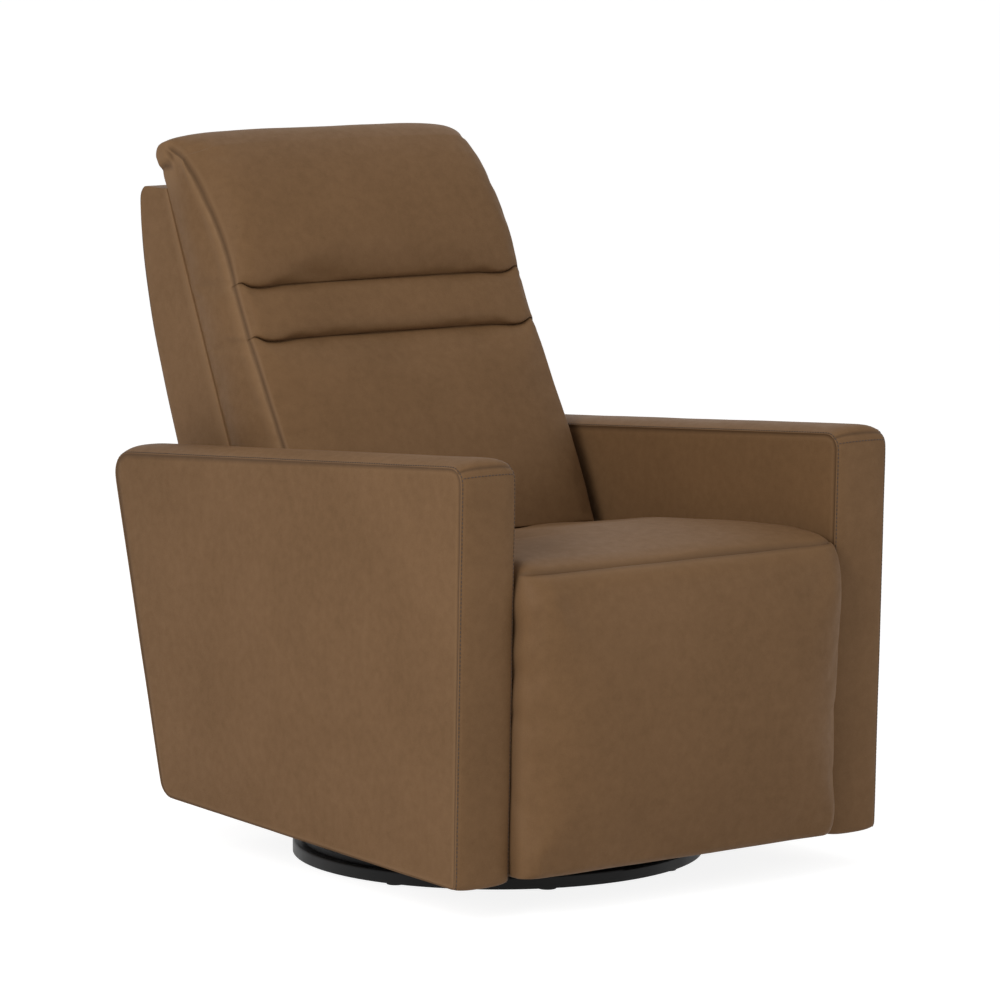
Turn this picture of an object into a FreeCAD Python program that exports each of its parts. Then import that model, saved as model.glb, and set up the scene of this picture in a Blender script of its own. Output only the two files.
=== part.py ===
import FreeCAD, Part
import math
import os
import re

import Sketcher

# A swivel glider recliner in millimetres. +Z is up, the chair faces -Y, and the origin is on the floor under
# the middle of its outline. Left and right are the sitter's, so left is +X.
Vector = FreeCAD.Vector
doc = FreeCAD.newDocument("SwivelGliderRecliner")
sheet = doc.addObject("Spreadsheet::Sheet", "Sizes")

SIZES = [
    ("ChairWidth", 760, "over the outer faces of the arms"),
    ("ArmThick", 90, "arm, across"),
    ("ArmTopFrontY", -463, "top front corner of the arm"),
    ("ArmTopFrontZ", 635, "height of the arm at its front"),
    ("ArmFootFrontY", -446, "bottom front corner of the arm"),
    ("ArmFootFrontZ", 52, "floor to the arm at its front"),
    ("ArmFootRearY", 288, "bottom rear corner of the arm"),
    ("ArmFootRearZ", 74, "floor to the arm at its rear"),
    ("ArmTopRearY", 420, "top rear corner of the arm"),
    ("ArmTopRearZ", 580, "height of the arm at its rear"),
    ("ArmRearRound", 42, "radius of the top rear corner"),
    ("ArmHeelRound", 20, "radius of the bottom rear corner"),
    ("ArmNoseRound", 14, "radius of the top front corner"),
    ("ArmWall", 14, "padded cover of the arm"),
    ("ArmPadding", 13, "room between the cover and the edges of its frame"),
    ("ArmFrameRise", 1, "arm frame above the cover's lower edge"),
    ("ArmRail", 55, "width of an arm frame member"),
    ("ArmFrameThick", 40, "thickness of the arm frame"),
    ("ArmWebZ", 360, "middle of the cross web in the arm frame"),
    ("ArmWebHeight", 140, "height of that web"),
    ("RingRadius", 304, "outside of the base ring"),
    ("RingWidth", 34, "base ring, across its section"),
    ("RingLip", 19, "height of the outer lip of the ring"),
    ("RingStep", 14, "step from the lip to the upper wall"),
    ("RingTopZ", 30, "top of the base ring"),
    ("RingRound", 4, "radius of the rims of the ring"),
    ("FootThick", 3, "rubber foot"),
    ("FootRadius", 13, "rubber foot"),
    ("FootCount", 8, "feet under the ring"),
    ("CrossBarWidth", 50, "bar across the ring"),
    ("CrossBarThick", 10, "bar across the ring"),
    ("SwivelY", -35, "swivel axis"),
    ("SwivelRadius", 140, "swivel plates"),
    ("SwivelThick", 6, "swivel plates"),
    ("BallRadius", 5, "bearing ball"),
    ("BallSink", 1, "depth of a ball in each plate"),
    ("BallPitch", 110, "radius of the ball circle"),
    ("BallCount", 24, "balls in the bearing"),
    ("SwivelBoltRadius", 10, "swivel bolt"),
    ("SwivelHeadRadius", 17, "head of the bolt, to its corners"),
    ("SwivelHeadHeight", 9, "head of the bolt"),
    ("NutClear", 2, "swivel nut to the cross bars"),
    ("RunFit", 0.05, "radial clearance of a turning fit"),
    ("BeamSpread", 60, "stand beam, from the swivel axis"),
    ("BeamWidth", 30, "stand beam"),
    ("BeamHeight", 20, "stand beam"),
    ("StandX", 148, "inner face of a glide stand"),
    ("StandThick", 5, "glide stand"),
    ("StandFoot", 80, "half the length of the stand at its foot"),
    ("StandMargin", 18, "metal round a glide pivot"),
    ("GlideSpan", 200, "front to rear glide pivots"),
    ("GlidePivotZ", 182, "upper glide pivots"),
    ("GlideLength", 112, "glide link between its pivots"),
    ("GlideReach", 47, "travel of the carriage each way"),
    ("GlideHalf", 14, "half the width of a glide link"),
    ("GlideThick", 5, "glide link, and the rail beside it"),
    ("GlideGap", 4, "glide link to the stand and to the rail"),
    ("GlidePinRadius", 6, "glide pivot pin"),
    ("WasherWidth", 3, "pin washer beyond the pin's radius"),
    ("WasherThick", 2.5, "pin washer"),
    ("SideClear", 0.3, "beside a turning piece"),
    ("RailHeight", 28, "glide rail"),
    ("TubeSize", 30, "cross tube"),
    ("TubeWall", 3, "cross tube"),
    ("TubeClear", 8, "cross tube to the stand at full glide"),
    ("PlateGap", 13, "mechanism plate to the arm"),
    ("BarThick", 3, "mechanism plate and every footrest link"),
    ("LayerGap", 4, "between layers of links"),
    ("DrivePivotY", -351, "fixed pivot of the drive link"),
    ("DrivePivotZ", 338, "fixed pivot of the drive link"),
    ("DriveLength", 270, "drive link"),
    ("DriveCross", 120, "fixed pivot to the cross link's pivot"),
    ("CrossLength", 170, "cross link ahead of its pivot, and extension link"),
    ("CrossTail", 120, "cross link behind its pivot"),
    ("DriveRest", -100, "angle of the drive link, footrest closed"),
    ("DriveSwing", 94, "turn of the drive link"),
    ("CrossRest", 60, "angle of the cross link, footrest closed"),
    ("CrossSwing", 48, "turn of the cross link"),
    ("LinkHalf", 12, "half the width of a footrest link"),
    ("RivetRadius", 6, "footrest rivet"),
    ("RivetHead", 3, "rivet head beyond the rivet's radius"),
    ("RivetHeadThick", 2, "rivet head"),
    ("DrivePinRadius", 8, "fixed pivot pin"),
    ("TorqueRadius", 10, "tube that joins the drive links"),
    ("RollerRadius", 6.5, "roller on the cross link's tail"),
    ("SlotClear", 0.5, "roller to the edge of its slot"),
    ("PlateTopFrontZ", 372, "mechanism plate at its front"),
    ("PlateFrontY", -388, "mechanism plate"),
    ("PlateChinZ", 240, "end of the plate's front edge"),
    ("PlateToeY", -320, "foot of the plate's slanted edge"),
    ("PlateRearY", 60, "upper rear corner of the plate"),
    ("PlateTopRearZ", 338, "mechanism plate at its rear"),
    ("PlateStepZ", 170, "step down to the tail of the plate"),
    ("PlateTailY", 172, "tail of the mechanism plate"),
    ("PlateTailZ", 125, "top of that tail"),
    ("PlateHole", 40, "radius of the lightening holes"),
    ("PlateHoleFrontY", -165, "front lightening hole"),
    ("PlateHoleRearY", -40, "rear lightening hole"),
    ("PlateHoleZ", 220, "lightening holes"),
    ("BoltRadius", 5, "bolt from a plate into the arm"),
    ("BoltHead", 4, "bolt head beyond the bolt's radius"),
    ("BoltDepth", 38, "bolt past the inner face of the arm"),
    ("BoltFrontY", -270, "front bolts"),
    ("BoltRearY", 30, "rear upper bolt"),
    ("BoltTailY", 153, "rear lower bolt"),
    ("BoltUpperZ", 303, "upper bolts"),
    ("BoltLowerZ", 96, "lower bolts"),
    ("SideGap", 7, "cushions to the arms"),
    ("SeatFrontY", -452, "front of the seat cushion's underside"),
    ("SeatRearY", 90, "rear of the seat cushion"),
    ("SeatPlaneZ", 392, "underside of the seat cushion at its front"),
    ("SeatTilt", 4.3, "fall of the seat to the rear"),
    ("SeatThick", 106, "seat cushion"),
    ("SeatCrown", 12, "rise of the seat cushion in its middle"),
    ("SeatDrop", 56, "seat cushion drawn in at its sides"),
    ("SeatBrow", 4, "rise of the seat cushion behind its front edge"),
    ("SeatRearRound", 32, "rounding of the seat cushion's rear edge"),
    ("SeatNose", 14, "seat cushion over the footrest's top edge"),
    ("SeatNoseDrop", 18, "depth of that nose"),
    ("SeatRailHeight", 32, "seat frame rail"),
    ("SeatRailThick", 22, "seat frame rail"),
    ("SeatFrameSetback", 12, "seat frame behind the cushion's front"),
    ("SeatFrameLength", 520, "seat frame"),
    ("FrameClear", 5, "seat frame to the footrest links"),
    ("AngleFrontY", 240, "seat angle, from the cushion's front"),
    ("AngleLength", 255, "seat angle"),
    ("AngleHeight", 18, "upright leg of the seat angle"),
    ("SpringWire", 1.8, "radius of a sinuous spring's wire"),
    ("SpringWidth", 52, "sinuous spring"),
    ("SpringPitch", 20, "sinuous spring, from run to run"),
    ("SpringSink", 8, "springs below the top of their rails"),
    ("SpringCount", 4, "springs in the seat and in the back"),
    ("RearRailFrontY", 252, "rear rail"),
    ("RearRailThick", 28, "rear rail"),
    ("RearRailTopZ", 198, "rear rail"),
    ("RearRailFootZ", 78, "rear rail"),
    ("BackGap", 26, "back to the arms"),
    ("BackLean", 24, "lean of the back from upright"),
    ("HingeY", 120, "back hinge"),
    ("HingeZ", 405, "back hinge"),
    ("HingePinRadius", 8, "back hinge pin"),
    ("HingeFlange", 22, "radius of the hinge pin's flange"),
    ("HingeFlangeThick", 3, "hinge pin's flange"),
    ("HingeCollar", 12, "radius of the hinge pin's collar and cap"),
    ("EarEndY", 245, "rear end of a hinge ear"),
    ("EarEndZ", 445, "rear end of a hinge ear"),
    ("EarHalf", 18, "half the width of a hinge ear"),
    ("EarThick", 5, "hinge ear"),
    ("ShellTopFrontY", 448, "front of the back shell at its top"),
    ("ShellTopZ", 967, "top of the back shell"),
    ("ShellTopRearY", 520, "rear of the back shell at its top"),
    ("ShellWaistY", 457, "where the shell's rear begins to curve"),
    ("ShellWaistZ", 672, "where the shell's rear begins to curve"),
    ("ShellCurve", 950, "radius of the shell's rear"),
    ("ShellTopRound", 17, "radius of the shell's top rear edge"),
    ("ShellSideZ", 430, "foot of the shell's sides"),
    ("ShellFootY", 278, "rear of the shell at its foot"),
    ("ShellFootZ", 230, "foot of the shell"),
    ("ShellTail", 28, "shell below its sides"),
    ("ShellWall", 12, "padded wall of the shell"),
    ("BackFrameEase", 2, "back frame behind the front of the shell"),
    ("BackPostDepth", 56, "post of the back frame"),
    ("BackPostThick", 22, "post and rails of the back frame"),
    ("BackPostFootZ", 385, "foot of the posts"),
    ("BackPostTopZ", 945, "top of the posts"),
    ("BackRailHeight", 48, "rail of the back frame"),
    ("BackRailLowZ", 432, "foot of the lower rail"),
    ("CushionGap", 0.5, "back cushion to the shell"),
    ("CushionFootZ", 461, "foot of the back cushion"),
    ("CushionFootDepth", 150, "back cushion at its foot"),
    ("HeadTopZ", 1045, "top of the head roll"),
    ("HeadTopDepth", 42, "back cushion at its top"),
    ("HeadBrowDrop", 27, "front upper edge of the head roll, below its top"),
    ("HeadBrowDepth", 111, "back cushion at that edge"),
    ("HeadRearDrop", 13, "rear edge of the head roll, below its top"),
    ("HeadRearDepth", 7, "back cushion at that edge"),
    ("HeadFlapDrop", 43, "lower edge of the head roll's rear, below its top"),
    ("HeadPanel", 213, "height of the head panel, down to the upper sewn channel"),
    ("ChannelHighDepth", 122, "back cushion at the upper channel"),
    ("ChannelPitch", 76, "upper channel to the lower one"),
    ("ChannelLowDepth", 126, "back cushion at the lower channel"),
    ("PanelSwell", 13, "swell of a panel between the seams"),
    ("CushionCrown", 12, "swell of the back cushion in its middle"),
    ("CushionDraw", 16, "back cushion drawn in at its sides"),
    ("BoardRearY", -458, "rear face of the footrest board"),
    ("BoardThick", 12, "footrest board"),
    ("BoardHalf", 262, "half the width of the footrest board"),
    ("BoardFootZ", 72, "footrest board"),
    ("BoardTopZ", 440, "footrest board"),
    ("PadFootZ", 58, "footrest pad"),
    ("PadTopZ", 486, "footrest pad"),
    ("PadTopDepth", 10, "footrest pad at its top edge"),
    ("PadDepth", 37, "footrest pad below its top"),
    ("PadBrow", 86, "height of the rounded top of the pad"),
    ("PadFootDepth", 16, "footrest pad above its foot"),
    ("PadChin", 72, "height of the rounded foot of the pad"),
    ("PadCrown", 12, "swell of the pad in its middle"),
    ("PadDraw", 10, "footrest pad drawn in at its sides"),
    ("BracketMargin", 17, "bracket round its pivots"),
    ("FlangeWidth", 22, "flange of the bracket on the board"),
    ("LeverPivotY", -120, "release lever's stud"),
    ("LeverPivotZ", 300, "release lever's stud"),
    ("LeverLength", 178, "stud to the grip"),
    ("LeverHalf", 9, "half the width of the release lever"),
    ("LeverClear", 3, "release lever to the arm"),
    ("LeverThick", 3, "release lever"),
    ("StudRadius", 6, "release lever's stud"),
    ("StudProud", 1, "stud past the lever"),
    ("GripRadius", 8, "grip of the release lever"),
    ("GripLength", 80, "grip of the release lever"),
    ("GripClear", 1.5, "grip to the arm"),
]
for row, (alias, value, meaning) in enumerate(SIZES, start=1):
    sheet.set(f"A{row}", meaning)
    sheet.set(f"B{row}", str(value))
    sheet.setAlias(f"B{row}", alias)
doc.recompute()

SIDES = (("left", 1), ("right", -1))
# Points closer than this are the same point.
TOUCH = 0.01
nodes = []


def tie(formula):
    """Point each size named in a formula at its cell of the sheet."""
    return re.sub(r"[A-Z][A-Za-z]+", lambda word: "Sizes." + word.group(), str(formula))


def val(formula):
    """The value of a formula of sizes."""
    return float(sheet.evalExpression(tie(formula)))


def bind(piece, **formulas):
    """Bind properties of an object to formulas of sizes."""
    for name, formula in formulas.items():
        piece.setExpression(name, tie(formula))


def place(piece, x="0", y="0", z="0"):
    """Bind where an object stands."""
    for axis, formula in zip("xyz", (x, y, z)):
        piece.setExpression(f"Placement.Base.{axis}", tie(formula))


def keep(piece):
    """Count an object as one of the chair's pieces."""
    nodes.append(piece)
    return piece


def start_x(sign, inner, outer):
    """The low X of a slab between two distances from the middle, on the left or the right."""
    return inner if sign > 0 else f"-({outer})"


def box(name, x, y, z, length, width, height):
    """A block along the axes."""
    piece = doc.addObject("Part::Box", name)
    bind(piece, Length=length, Width=width, Height=height)
    place(piece, x, y, z)
    return piece


def disc(name, radius, low, high, x="0", y="SwivelY"):
    """An upright cylinder between two heights."""
    piece = doc.addObject("Part::Cylinder", name)
    bind(piece, Radius=radius, Height=f"({high}) - ({low})")
    place(piece, x, y, low)
    return piece


def rod(name, sign, inner, outer, point, radius):
    """A cylinder along X between two distances from the middle."""
    piece = doc.addObject("Part::Cylinder", name)
    piece.Placement = FreeCAD.Placement(Vector(), FreeCAD.Rotation(Vector(0, 1, 0), 90))
    bind(piece, Radius=radius, Height=f"({outer}) - ({inner})")
    place(piece, start_x(sign, inner, outer), point[0], point[1])
    return piece


def fuse(name, pieces):
    """Join pieces into one solid."""
    joined = doc.addObject("Part::MultiFuse", name)
    joined.Shapes = pieces
    return joined


def group(name, pieces):
    """Hold separate solids together as one piece."""
    held = doc.addObject("Part::Compound", name)
    held.Links = pieces
    return held


def cut(name, base, tool):
    """Take one solid out of another."""
    left_over = doc.addObject("Part::Cut", name)
    left_over.Base = base
    left_over.Tool = tool
    return left_over


def distance(sketch, kind, geometry, point, formula):
    """Hold a point of a sketch at a distance from the sketch's origin."""
    held = Sketcher.Constraint(kind, -1, 1, geometry, point, val(formula))
    number = sketch.addConstraint(held)
    sketch.setExpression(f"Constraints[{number}]", tie(formula))


def size_radius(sketch, geometry, formula):
    """Hold the radius of a circle or an arc."""
    number = sketch.addConstraint(Sketcher.Constraint("Radius", geometry, val(formula)))
    sketch.setExpression(f"Constraints[{number}]", tie(formula))


def arc_to(start, end, radius):
    """The arc from start to end that bulges to the right of the way."""
    chord = end - start
    rise = math.sqrt(radius ** 2 - (chord.Length / 2) ** 2)
    left = Vector(-chord.y, chord.x, 0).normalize()
    middle = (start + end) / 2 + left * rise
    first = math.atan2(start.y - middle.y, start.x - middle.x)
    last = math.atan2(end.y - middle.y, end.x - middle.x)
    return Part.ArcOfCircle(Part.Circle(middle, Vector(0, 0, 1), radius), first, last)


def outline(sketch, corners):
    """A closed outline through corners. A third value rounds the way on from a corner with that radius."""
    points = [Vector(val(corner[0]), val(corner[1]), 0) for corner in corners]
    first = sketch.GeometryCount
    count = len(corners)
    for number, corner in enumerate(corners):
        here, there = points[number], points[(number + 1) % count]
        edge = Part.LineSegment(here, there)
        if len(corner) > 2:
            edge = arc_to(here, there, val(corner[2]))
        sketch.addGeometry(edge, False)
    for number, corner in enumerate(corners):
        geometry = first + number
        follower = first + (number + 1) % count
        sketch.addConstraint(Sketcher.Constraint("Coincident", geometry, 2, follower, 1))
        distance(sketch, "DistanceX", geometry, 1, corner[0])
        distance(sketch, "DistanceY", geometry, 1, corner[1])
        if len(corner) > 2:
            size_radius(sketch, geometry, corner[2])


def hole(sketch, point, radius):
    """A round hole in a sketch."""
    middle = Vector(val(point[0]), val(point[1]), 0)
    number = sketch.addGeometry(Part.Circle(middle, Vector(0, 0, 1), val(radius)), False)
    distance(sketch, "DistanceX", number, 3, point[0])
    distance(sketch, "DistanceY", number, 3, point[1])
    size_radius(sketch, number, radius)


def capsule(sketch, start, end, half):
    """The outline of a bar with round ends about two points."""
    ends = [Vector(val(point[0]), val(point[1]), 0) for point in (start, end)]
    radius = val(half)
    along = (ends[1] - ends[0]).normalize()
    across = Vector(-along.y, along.x, 0)
    turn = math.atan2(across.y, across.x)
    first = sketch.GeometryCount
    for middle, angle in zip(ends, (turn, turn + math.pi)):
        circle = Part.Circle(middle, Vector(0, 0, 1), radius)
        sketch.addGeometry(Part.ArcOfCircle(circle, angle, angle + math.pi), False)
    for shift in (across * radius, across * -radius):
        sketch.addGeometry(Part.LineSegment(ends[0] + shift, ends[1] + shift), False)
    near, far, upper, lower = range(first, first + 4)
    sketch.addConstraint(Sketcher.Constraint("Tangent", near, 1, upper, 1))
    sketch.addConstraint(Sketcher.Constraint("Tangent", near, 2, lower, 1))
    sketch.addConstraint(Sketcher.Constraint("Tangent", far, 2, upper, 2))
    sketch.addConstraint(Sketcher.Constraint("Tangent", far, 1, lower, 2))
    for geometry, point in ((near, start), (far, end)):
        distance(sketch, "DistanceX", geometry, 3, point[0])
        distance(sketch, "DistanceY", geometry, 3, point[1])
    size_radius(sketch, near, half)


def side_body(name, sign, inner, outer):
    """A body that lies in a side plane, and its sketch in Y and Z."""
    body = doc.addObject("PartDesign::Body", name)
    sketch = body.newObject("Sketcher::SketchObject", name + "_outline")
    plane = next(part for part in body.Origin.OriginFeatures if part.Role == "YZ_Plane")
    sketch.AttachmentSupport = [(plane, "")]
    sketch.MapMode = "FlatFace"
    place(body, start_x(sign, inner, outer))
    return body, sketch


def pad(body, sketch, inner, outer):
    """Give the sketch of a side body its thickness."""
    feature = body.newObject("PartDesign::Pad", body.Name + "_pad")
    feature.Profile = sketch
    bind(feature, Length=f"({outer}) - ({inner})")
    return body


def slab(name, sign, inner, outer, corners, holes=()):
    """A flat piece in a side plane with straight or curved edges and round holes."""
    body, sketch = side_body(name, sign, inner, outer)
    outline(sketch, corners)
    for point, radius in holes:
        hole(sketch, point, radius)
    return pad(body, sketch, inner, outer)


def bar(name, sign, inner, outer, start, end, half, holes=()):
    """A flat link with round ends."""
    body, sketch = side_body(name, sign, inner, outer)
    capsule(sketch, start, end, half)
    for point, radius in holes:
        hole(sketch, point, radius)
    return pad(body, sketch, inner, outer)


def round_corner(body, corner, radius):
    """Round the edge of a side body that runs along X through a corner of its outline."""
    doc.recompute()
    base = body.Tip
    y, z = val(corner[0]), val(corner[1])
    names = []
    for number, edge in enumerate(base.Shape.Edges, start=1):
        if all(math.hypot(end.Point.y - y, end.Point.z - z) < TOUCH for end in edge.Vertexes):
            names.append(f"Edge{number}")
    feature = body.newObject("PartDesign::Fillet", f"{body.Name}_round")
    feature.Base = (base, names)
    bind(feature, Radius=radius)


def wire(points):
    """A closed wire in a side plane. A point marked "arc" is the top of an arc between its neighbours."""
    edges = []
    start = points[0]
    number = 1
    while number <= len(points):
        step = points[number % len(points)]
        if len(step) > 3:
            number += 1
            after = points[number % len(points)]
            edges.append(Part.Arc(Vector(*start[:3]), Vector(*step[:3]), Vector(*after[:3])).toShape())
            start = after
        else:
            edges.append(Part.makeLine(Vector(*start[:3]), Vector(*step[:3])))
            start = step
        number += 1
    return Part.Wire(edges)


def between(start, end, swell):
    """The top of an arc that swells to the left of the way from start to end, in Y and Z."""
    along = math.hypot(end[0] - start[0], end[1] - start[1])
    y = (start[0] + end[0]) / 2 - (end[1] - start[1]) / along * swell
    z = (start[1] + end[1]) / 2 + (end[0] - start[0]) / along * swell
    return y, z


# Shares of a soft piece's half width where its profile is drawn, how sharply it draws in near its sides, and
# how the seat's nose fades towards them.
STATIONS = (-1, -0.96, -0.86, -0.6, 0, 0.6, 0.86, 0.96, 1)
DRAW_POWER = 8
NOSE_POWER = 4


def soft(name, half, profile):
    """A soft piece lofted across the chair. The profile is asked for at each share of its half width."""
    wires = []
    for share in STATIONS:
        x = share * half
        points = [(x, point[0], point[1], *point[2:]) for point in profile(abs(share))]
        wires.append(wire(points))
    piece = doc.addObject("Part::Feature", name)
    piece.Shape = Part.makeLoft(wires, True, True)
    return piece


# Places that several pieces share, from the middle of the chair outwards and from the floor up.
ARM_IN = "(ChairWidth/2 - ArmThick)"
ARM_OUT = "(ChairWidth/2)"
PLATE_OUT = f"({ARM_IN} - PlateGap)"
PLATE_IN = f"({PLATE_OUT} - BarThick)"
DRIVE_OUT = f"({PLATE_IN} - LayerGap)"
DRIVE_IN = f"({DRIVE_OUT} - BarThick)"
CROSS_OUT = f"({DRIVE_IN} - LayerGap)"
CROSS_IN = f"({CROSS_OUT} - BarThick)"
BRACKET_OUT = f"({CROSS_IN} - LayerGap)"
BRACKET_IN = f"({BRACKET_OUT} - BarThick)"
SEAT_FRAME_OUT = f"({BRACKET_IN} - RivetHeadThick - FrameClear)"
STAND_OUT = "(StandX + StandThick)"
GLIDE_IN = f"({STAND_OUT} + GlideGap)"
GLIDE_OUT = f"({GLIDE_IN} + GlideThick)"
RAIL_IN = f"({GLIDE_OUT} + GlideGap)"
RAIL_OUT = f"({RAIL_IN} + GlideThick)"
BACK_HALF = f"({ARM_IN} - BackGap)"
CUSHION_HALF = f"({ARM_IN} - SideGap)"
EAR_OUT = f"({BACK_HALF} - ShellWall)"
EAR_IN = f"({EAR_OUT} - EarThick)"
POST_IN = f"({EAR_IN} - BackPostThick)"

RING_IN = "(RingRadius - RingWidth)"
BAR_TOP = "(FootThick + CrossBarThick)"
LOWER_TOP = f"({BAR_TOP} + SwivelThick)"
UPPER_FOOT = f"({LOWER_TOP} + 2*BallRadius - 2*BallSink)"
UPPER_TOP = f"({UPPER_FOOT} + SwivelThick)"
GLIDE_LOW_Z = "(GlidePivotZ - GlideLength)"
RAIL_TOP = f"({GLIDE_LOW_Z} + RailHeight/2)"
STAND_END = "(GlideSpan/2 + StandMargin)"
TUBE_FRONT_Y = f"(SwivelY - {STAND_END} - GlideReach - TubeClear - TubeSize)"
TUBE_REAR_Y = f"(SwivelY + {STAND_END} + GlideReach + TubeClear)"


def lean_y(z):
    """The front of the back shell at a height."""
    return f"(ShellTopFrontY - (ShellTopZ - ({z}))*tan(BackLean))"


def shell_rear_y(z):
    """The straight part of the shell's rear at a height."""
    return f"(ShellFootY + (({z}) - ShellFootZ)*(ShellWaistY - ShellFootY)/(ShellWaistZ - ShellFootZ))"


def seat_z(y):
    """The underside of the seat cushion at a distance along the chair."""
    return f"(SeatPlaneZ - (({y}) - SeatFrontY)*tan(SeatTilt))"


def swung(point, length, angle):
    """A point at a length and an angle from another, seen with the chair's front to the right."""
    return f"({point[0]} - ({length})*cos({angle}))", f"({point[1]} + ({length})*sin({angle}))"


DRIVE_PIVOT = ("DrivePivotY", "DrivePivotZ")
CROSS_PIVOT = swung(DRIVE_PIVOT, "DriveCross", "DriveRest")
DRIVE_END = swung(DRIVE_PIVOT, "DriveLength", "DriveRest")
CROSS_END = swung(CROSS_PIVOT, "CrossLength", "CrossRest")
EXTENSION_END = swung(DRIVE_END, "CrossLength", "CrossRest")
CROSS_TAIL = swung(CROSS_PIVOT, "-CrossTail", "CrossRest")
HINGE = ("HingeY", "HingeZ")
GLIDE_ENDS = (("front", "(SwivelY - GlideSpan/2)"), ("rear", "(SwivelY + GlideSpan/2)"))


def base_ring():
    """The ring that the chair turns on: a low lip and a taller wall inside it."""
    body = doc.addObject("PartDesign::Body", "base_ring")
    sketch = body.newObject("Sketcher::SketchObject", "base_ring_section")
    plane = next(part for part in body.Origin.OriginFeatures if part.Role == "XZ_Plane")
    sketch.AttachmentSupport = [(plane, "")]
    sketch.MapMode = "FlatFace"
    lip_top = "(FootThick + RingLip)"
    wall = "(RingRadius - RingStep)"
    corners = [(RING_IN, "FootThick"), ("RingRadius", "FootThick"), ("RingRadius", lip_top)]
    corners += [(wall, lip_top), (wall, "RingTopZ"), (RING_IN, "RingTopZ")]
    outline(sketch, corners)
    turned = body.newObject("PartDesign::Revolution", "base_ring_turned")
    turned.Profile = sketch
    turned.ReferenceAxis = (sketch, ["V_Axis"])
    turned.Angle = 360
    doc.recompute()
    rims = []
    for number, edge in enumerate(turned.Shape.Edges, start=1):
        curve = edge.Curve
        on_lip = isinstance(curve, Part.Circle) and abs(curve.Radius - val("RingRadius")) < TOUCH
        if on_lip and abs(curve.Center.z - val(lip_top)) < TOUCH:
            rims.append(f"Edge{number}")
    rounded = body.newObject("PartDesign::Fillet", "base_ring_rim")
    rounded.Base = (turned, rims)
    bind(rounded, Radius="min(RingRound; RingLip/2)")
    place(body, y="SwivelY")
    return body


def base_cross():
    """Two flat bars across the ring, welded where they cross, with room for the swivel nut."""
    span = f"2*{RING_IN}"
    bars = []
    for number, (length, width) in enumerate(((span, "CrossBarWidth"), ("CrossBarWidth", span))):
        corner = (f"-({length})/2", f"SwivelY - ({width})/2", "FootThick")
        bars.append(box(f"cross_bar_{number}", *corner, length, width, "CrossBarThick"))
    cross = fuse("cross_bars", bars)
    trim = doc.addObject("Part::Common", "cross_bars_trimmed")
    trim.Base = cross
    trim.Tool = disc("cross_bar_reach", RING_IN, "FootThick", BAR_TOP)
    well = disc("nut_well", "SwivelHeadRadius + NutClear", "FootThick", BAR_TOP)
    return cut("base_cross", trim, well)


def base_feet():
    """Rubber feet under the middle of the ring's section."""
    feet = []
    for number in range(int(val("FootCount"))):
        turn = f"({number} + 0.5)*360/FootCount"
        circle = "(RingRadius - RingWidth/2)"
        x = f"{circle}*cos({turn})"
        y = f"SwivelY + {circle}*sin({turn})"
        feet.append(disc(f"foot_{number}", "FootRadius", "0", "FootThick", x, y))
    return group("base_feet", feet)


def ball_race(name, low):
    """The ring of room that the balls need, for cutting a groove into a swivel plate."""
    race = doc.addObject("Part::Torus", name)
    bind(race, Radius1="BallPitch", Radius2="BallRadius + RunFit")
    place(race, y="SwivelY", z=low)
    return race


BALL_Z = f"({LOWER_TOP} + BallRadius - BallSink)"


def swivel_plates():
    """The two plates of the swivel, each with half of the ball race and a bore for the bolt."""
    for name, low, high, bore in (
        ("swivel_lower_plate", BAR_TOP, LOWER_TOP, "SwivelBoltRadius + RunFit"),
        ("swivel_upper_plate", UPPER_FOOT, UPPER_TOP, "SwivelBoltRadius"),
    ):
        plate = disc(name + "_blank", "SwivelRadius", low, high)
        bored = cut(name + "_bored", plate, disc(name + "_bore", bore, low, high))
        keep(cut(name, bored, ball_race(name + "_race", BALL_Z)))


def swivel_balls():
    """The bearing balls between the swivel plates."""
    balls = []
    for number in range(int(val("BallCount"))):
        turn = f"{number}*360/BallCount"
        ball = doc.addObject("Part::Sphere", f"ball_{number}")
        bind(ball, Radius="BallRadius")
        place(ball, f"BallPitch*cos({turn})", f"SwivelY + BallPitch*sin({turn})", BALL_Z)
        balls.append(ball)
    return group("swivel_balls", balls)


def hexagon(name, low):
    """A bolt head or a nut on the swivel axis."""
    piece = doc.addObject("Part::Prism", name)
    piece.Polygon = 6
    bind(piece, Circumradius="SwivelHeadRadius", Height="SwivelHeadHeight")
    place(piece, y="SwivelY", z=low)
    return piece


def swivel_bolt():
    """The bolt that holds the two swivel plates together, and its nut in the middle of the cross bars."""
    nut_foot = f"({BAR_TOP} - SwivelHeadHeight - SideClear)"
    shank = disc("swivel_shank", "SwivelBoltRadius", nut_foot, UPPER_TOP)
    keep(fuse("swivel_bolt", [shank, hexagon("swivel_head", UPPER_TOP)]))
    thread = disc("swivel_thread", "SwivelBoltRadius", nut_foot, BAR_TOP)
    keep(cut("swivel_nut", hexagon("swivel_nut_blank", nut_foot), thread))


def stand_beams():
    """The two beams that carry the glide stands on the upper swivel plate."""
    beams = []
    for number, way in enumerate(("-", "+")):
        y = f"SwivelY {way} BeamSpread - BeamWidth/2"
        beams.append(box(f"beam_{number}", "-StandX", y, UPPER_TOP, "2*StandX", "BeamWidth", "BeamHeight"))
    return group("stand_beams", beams)


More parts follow.
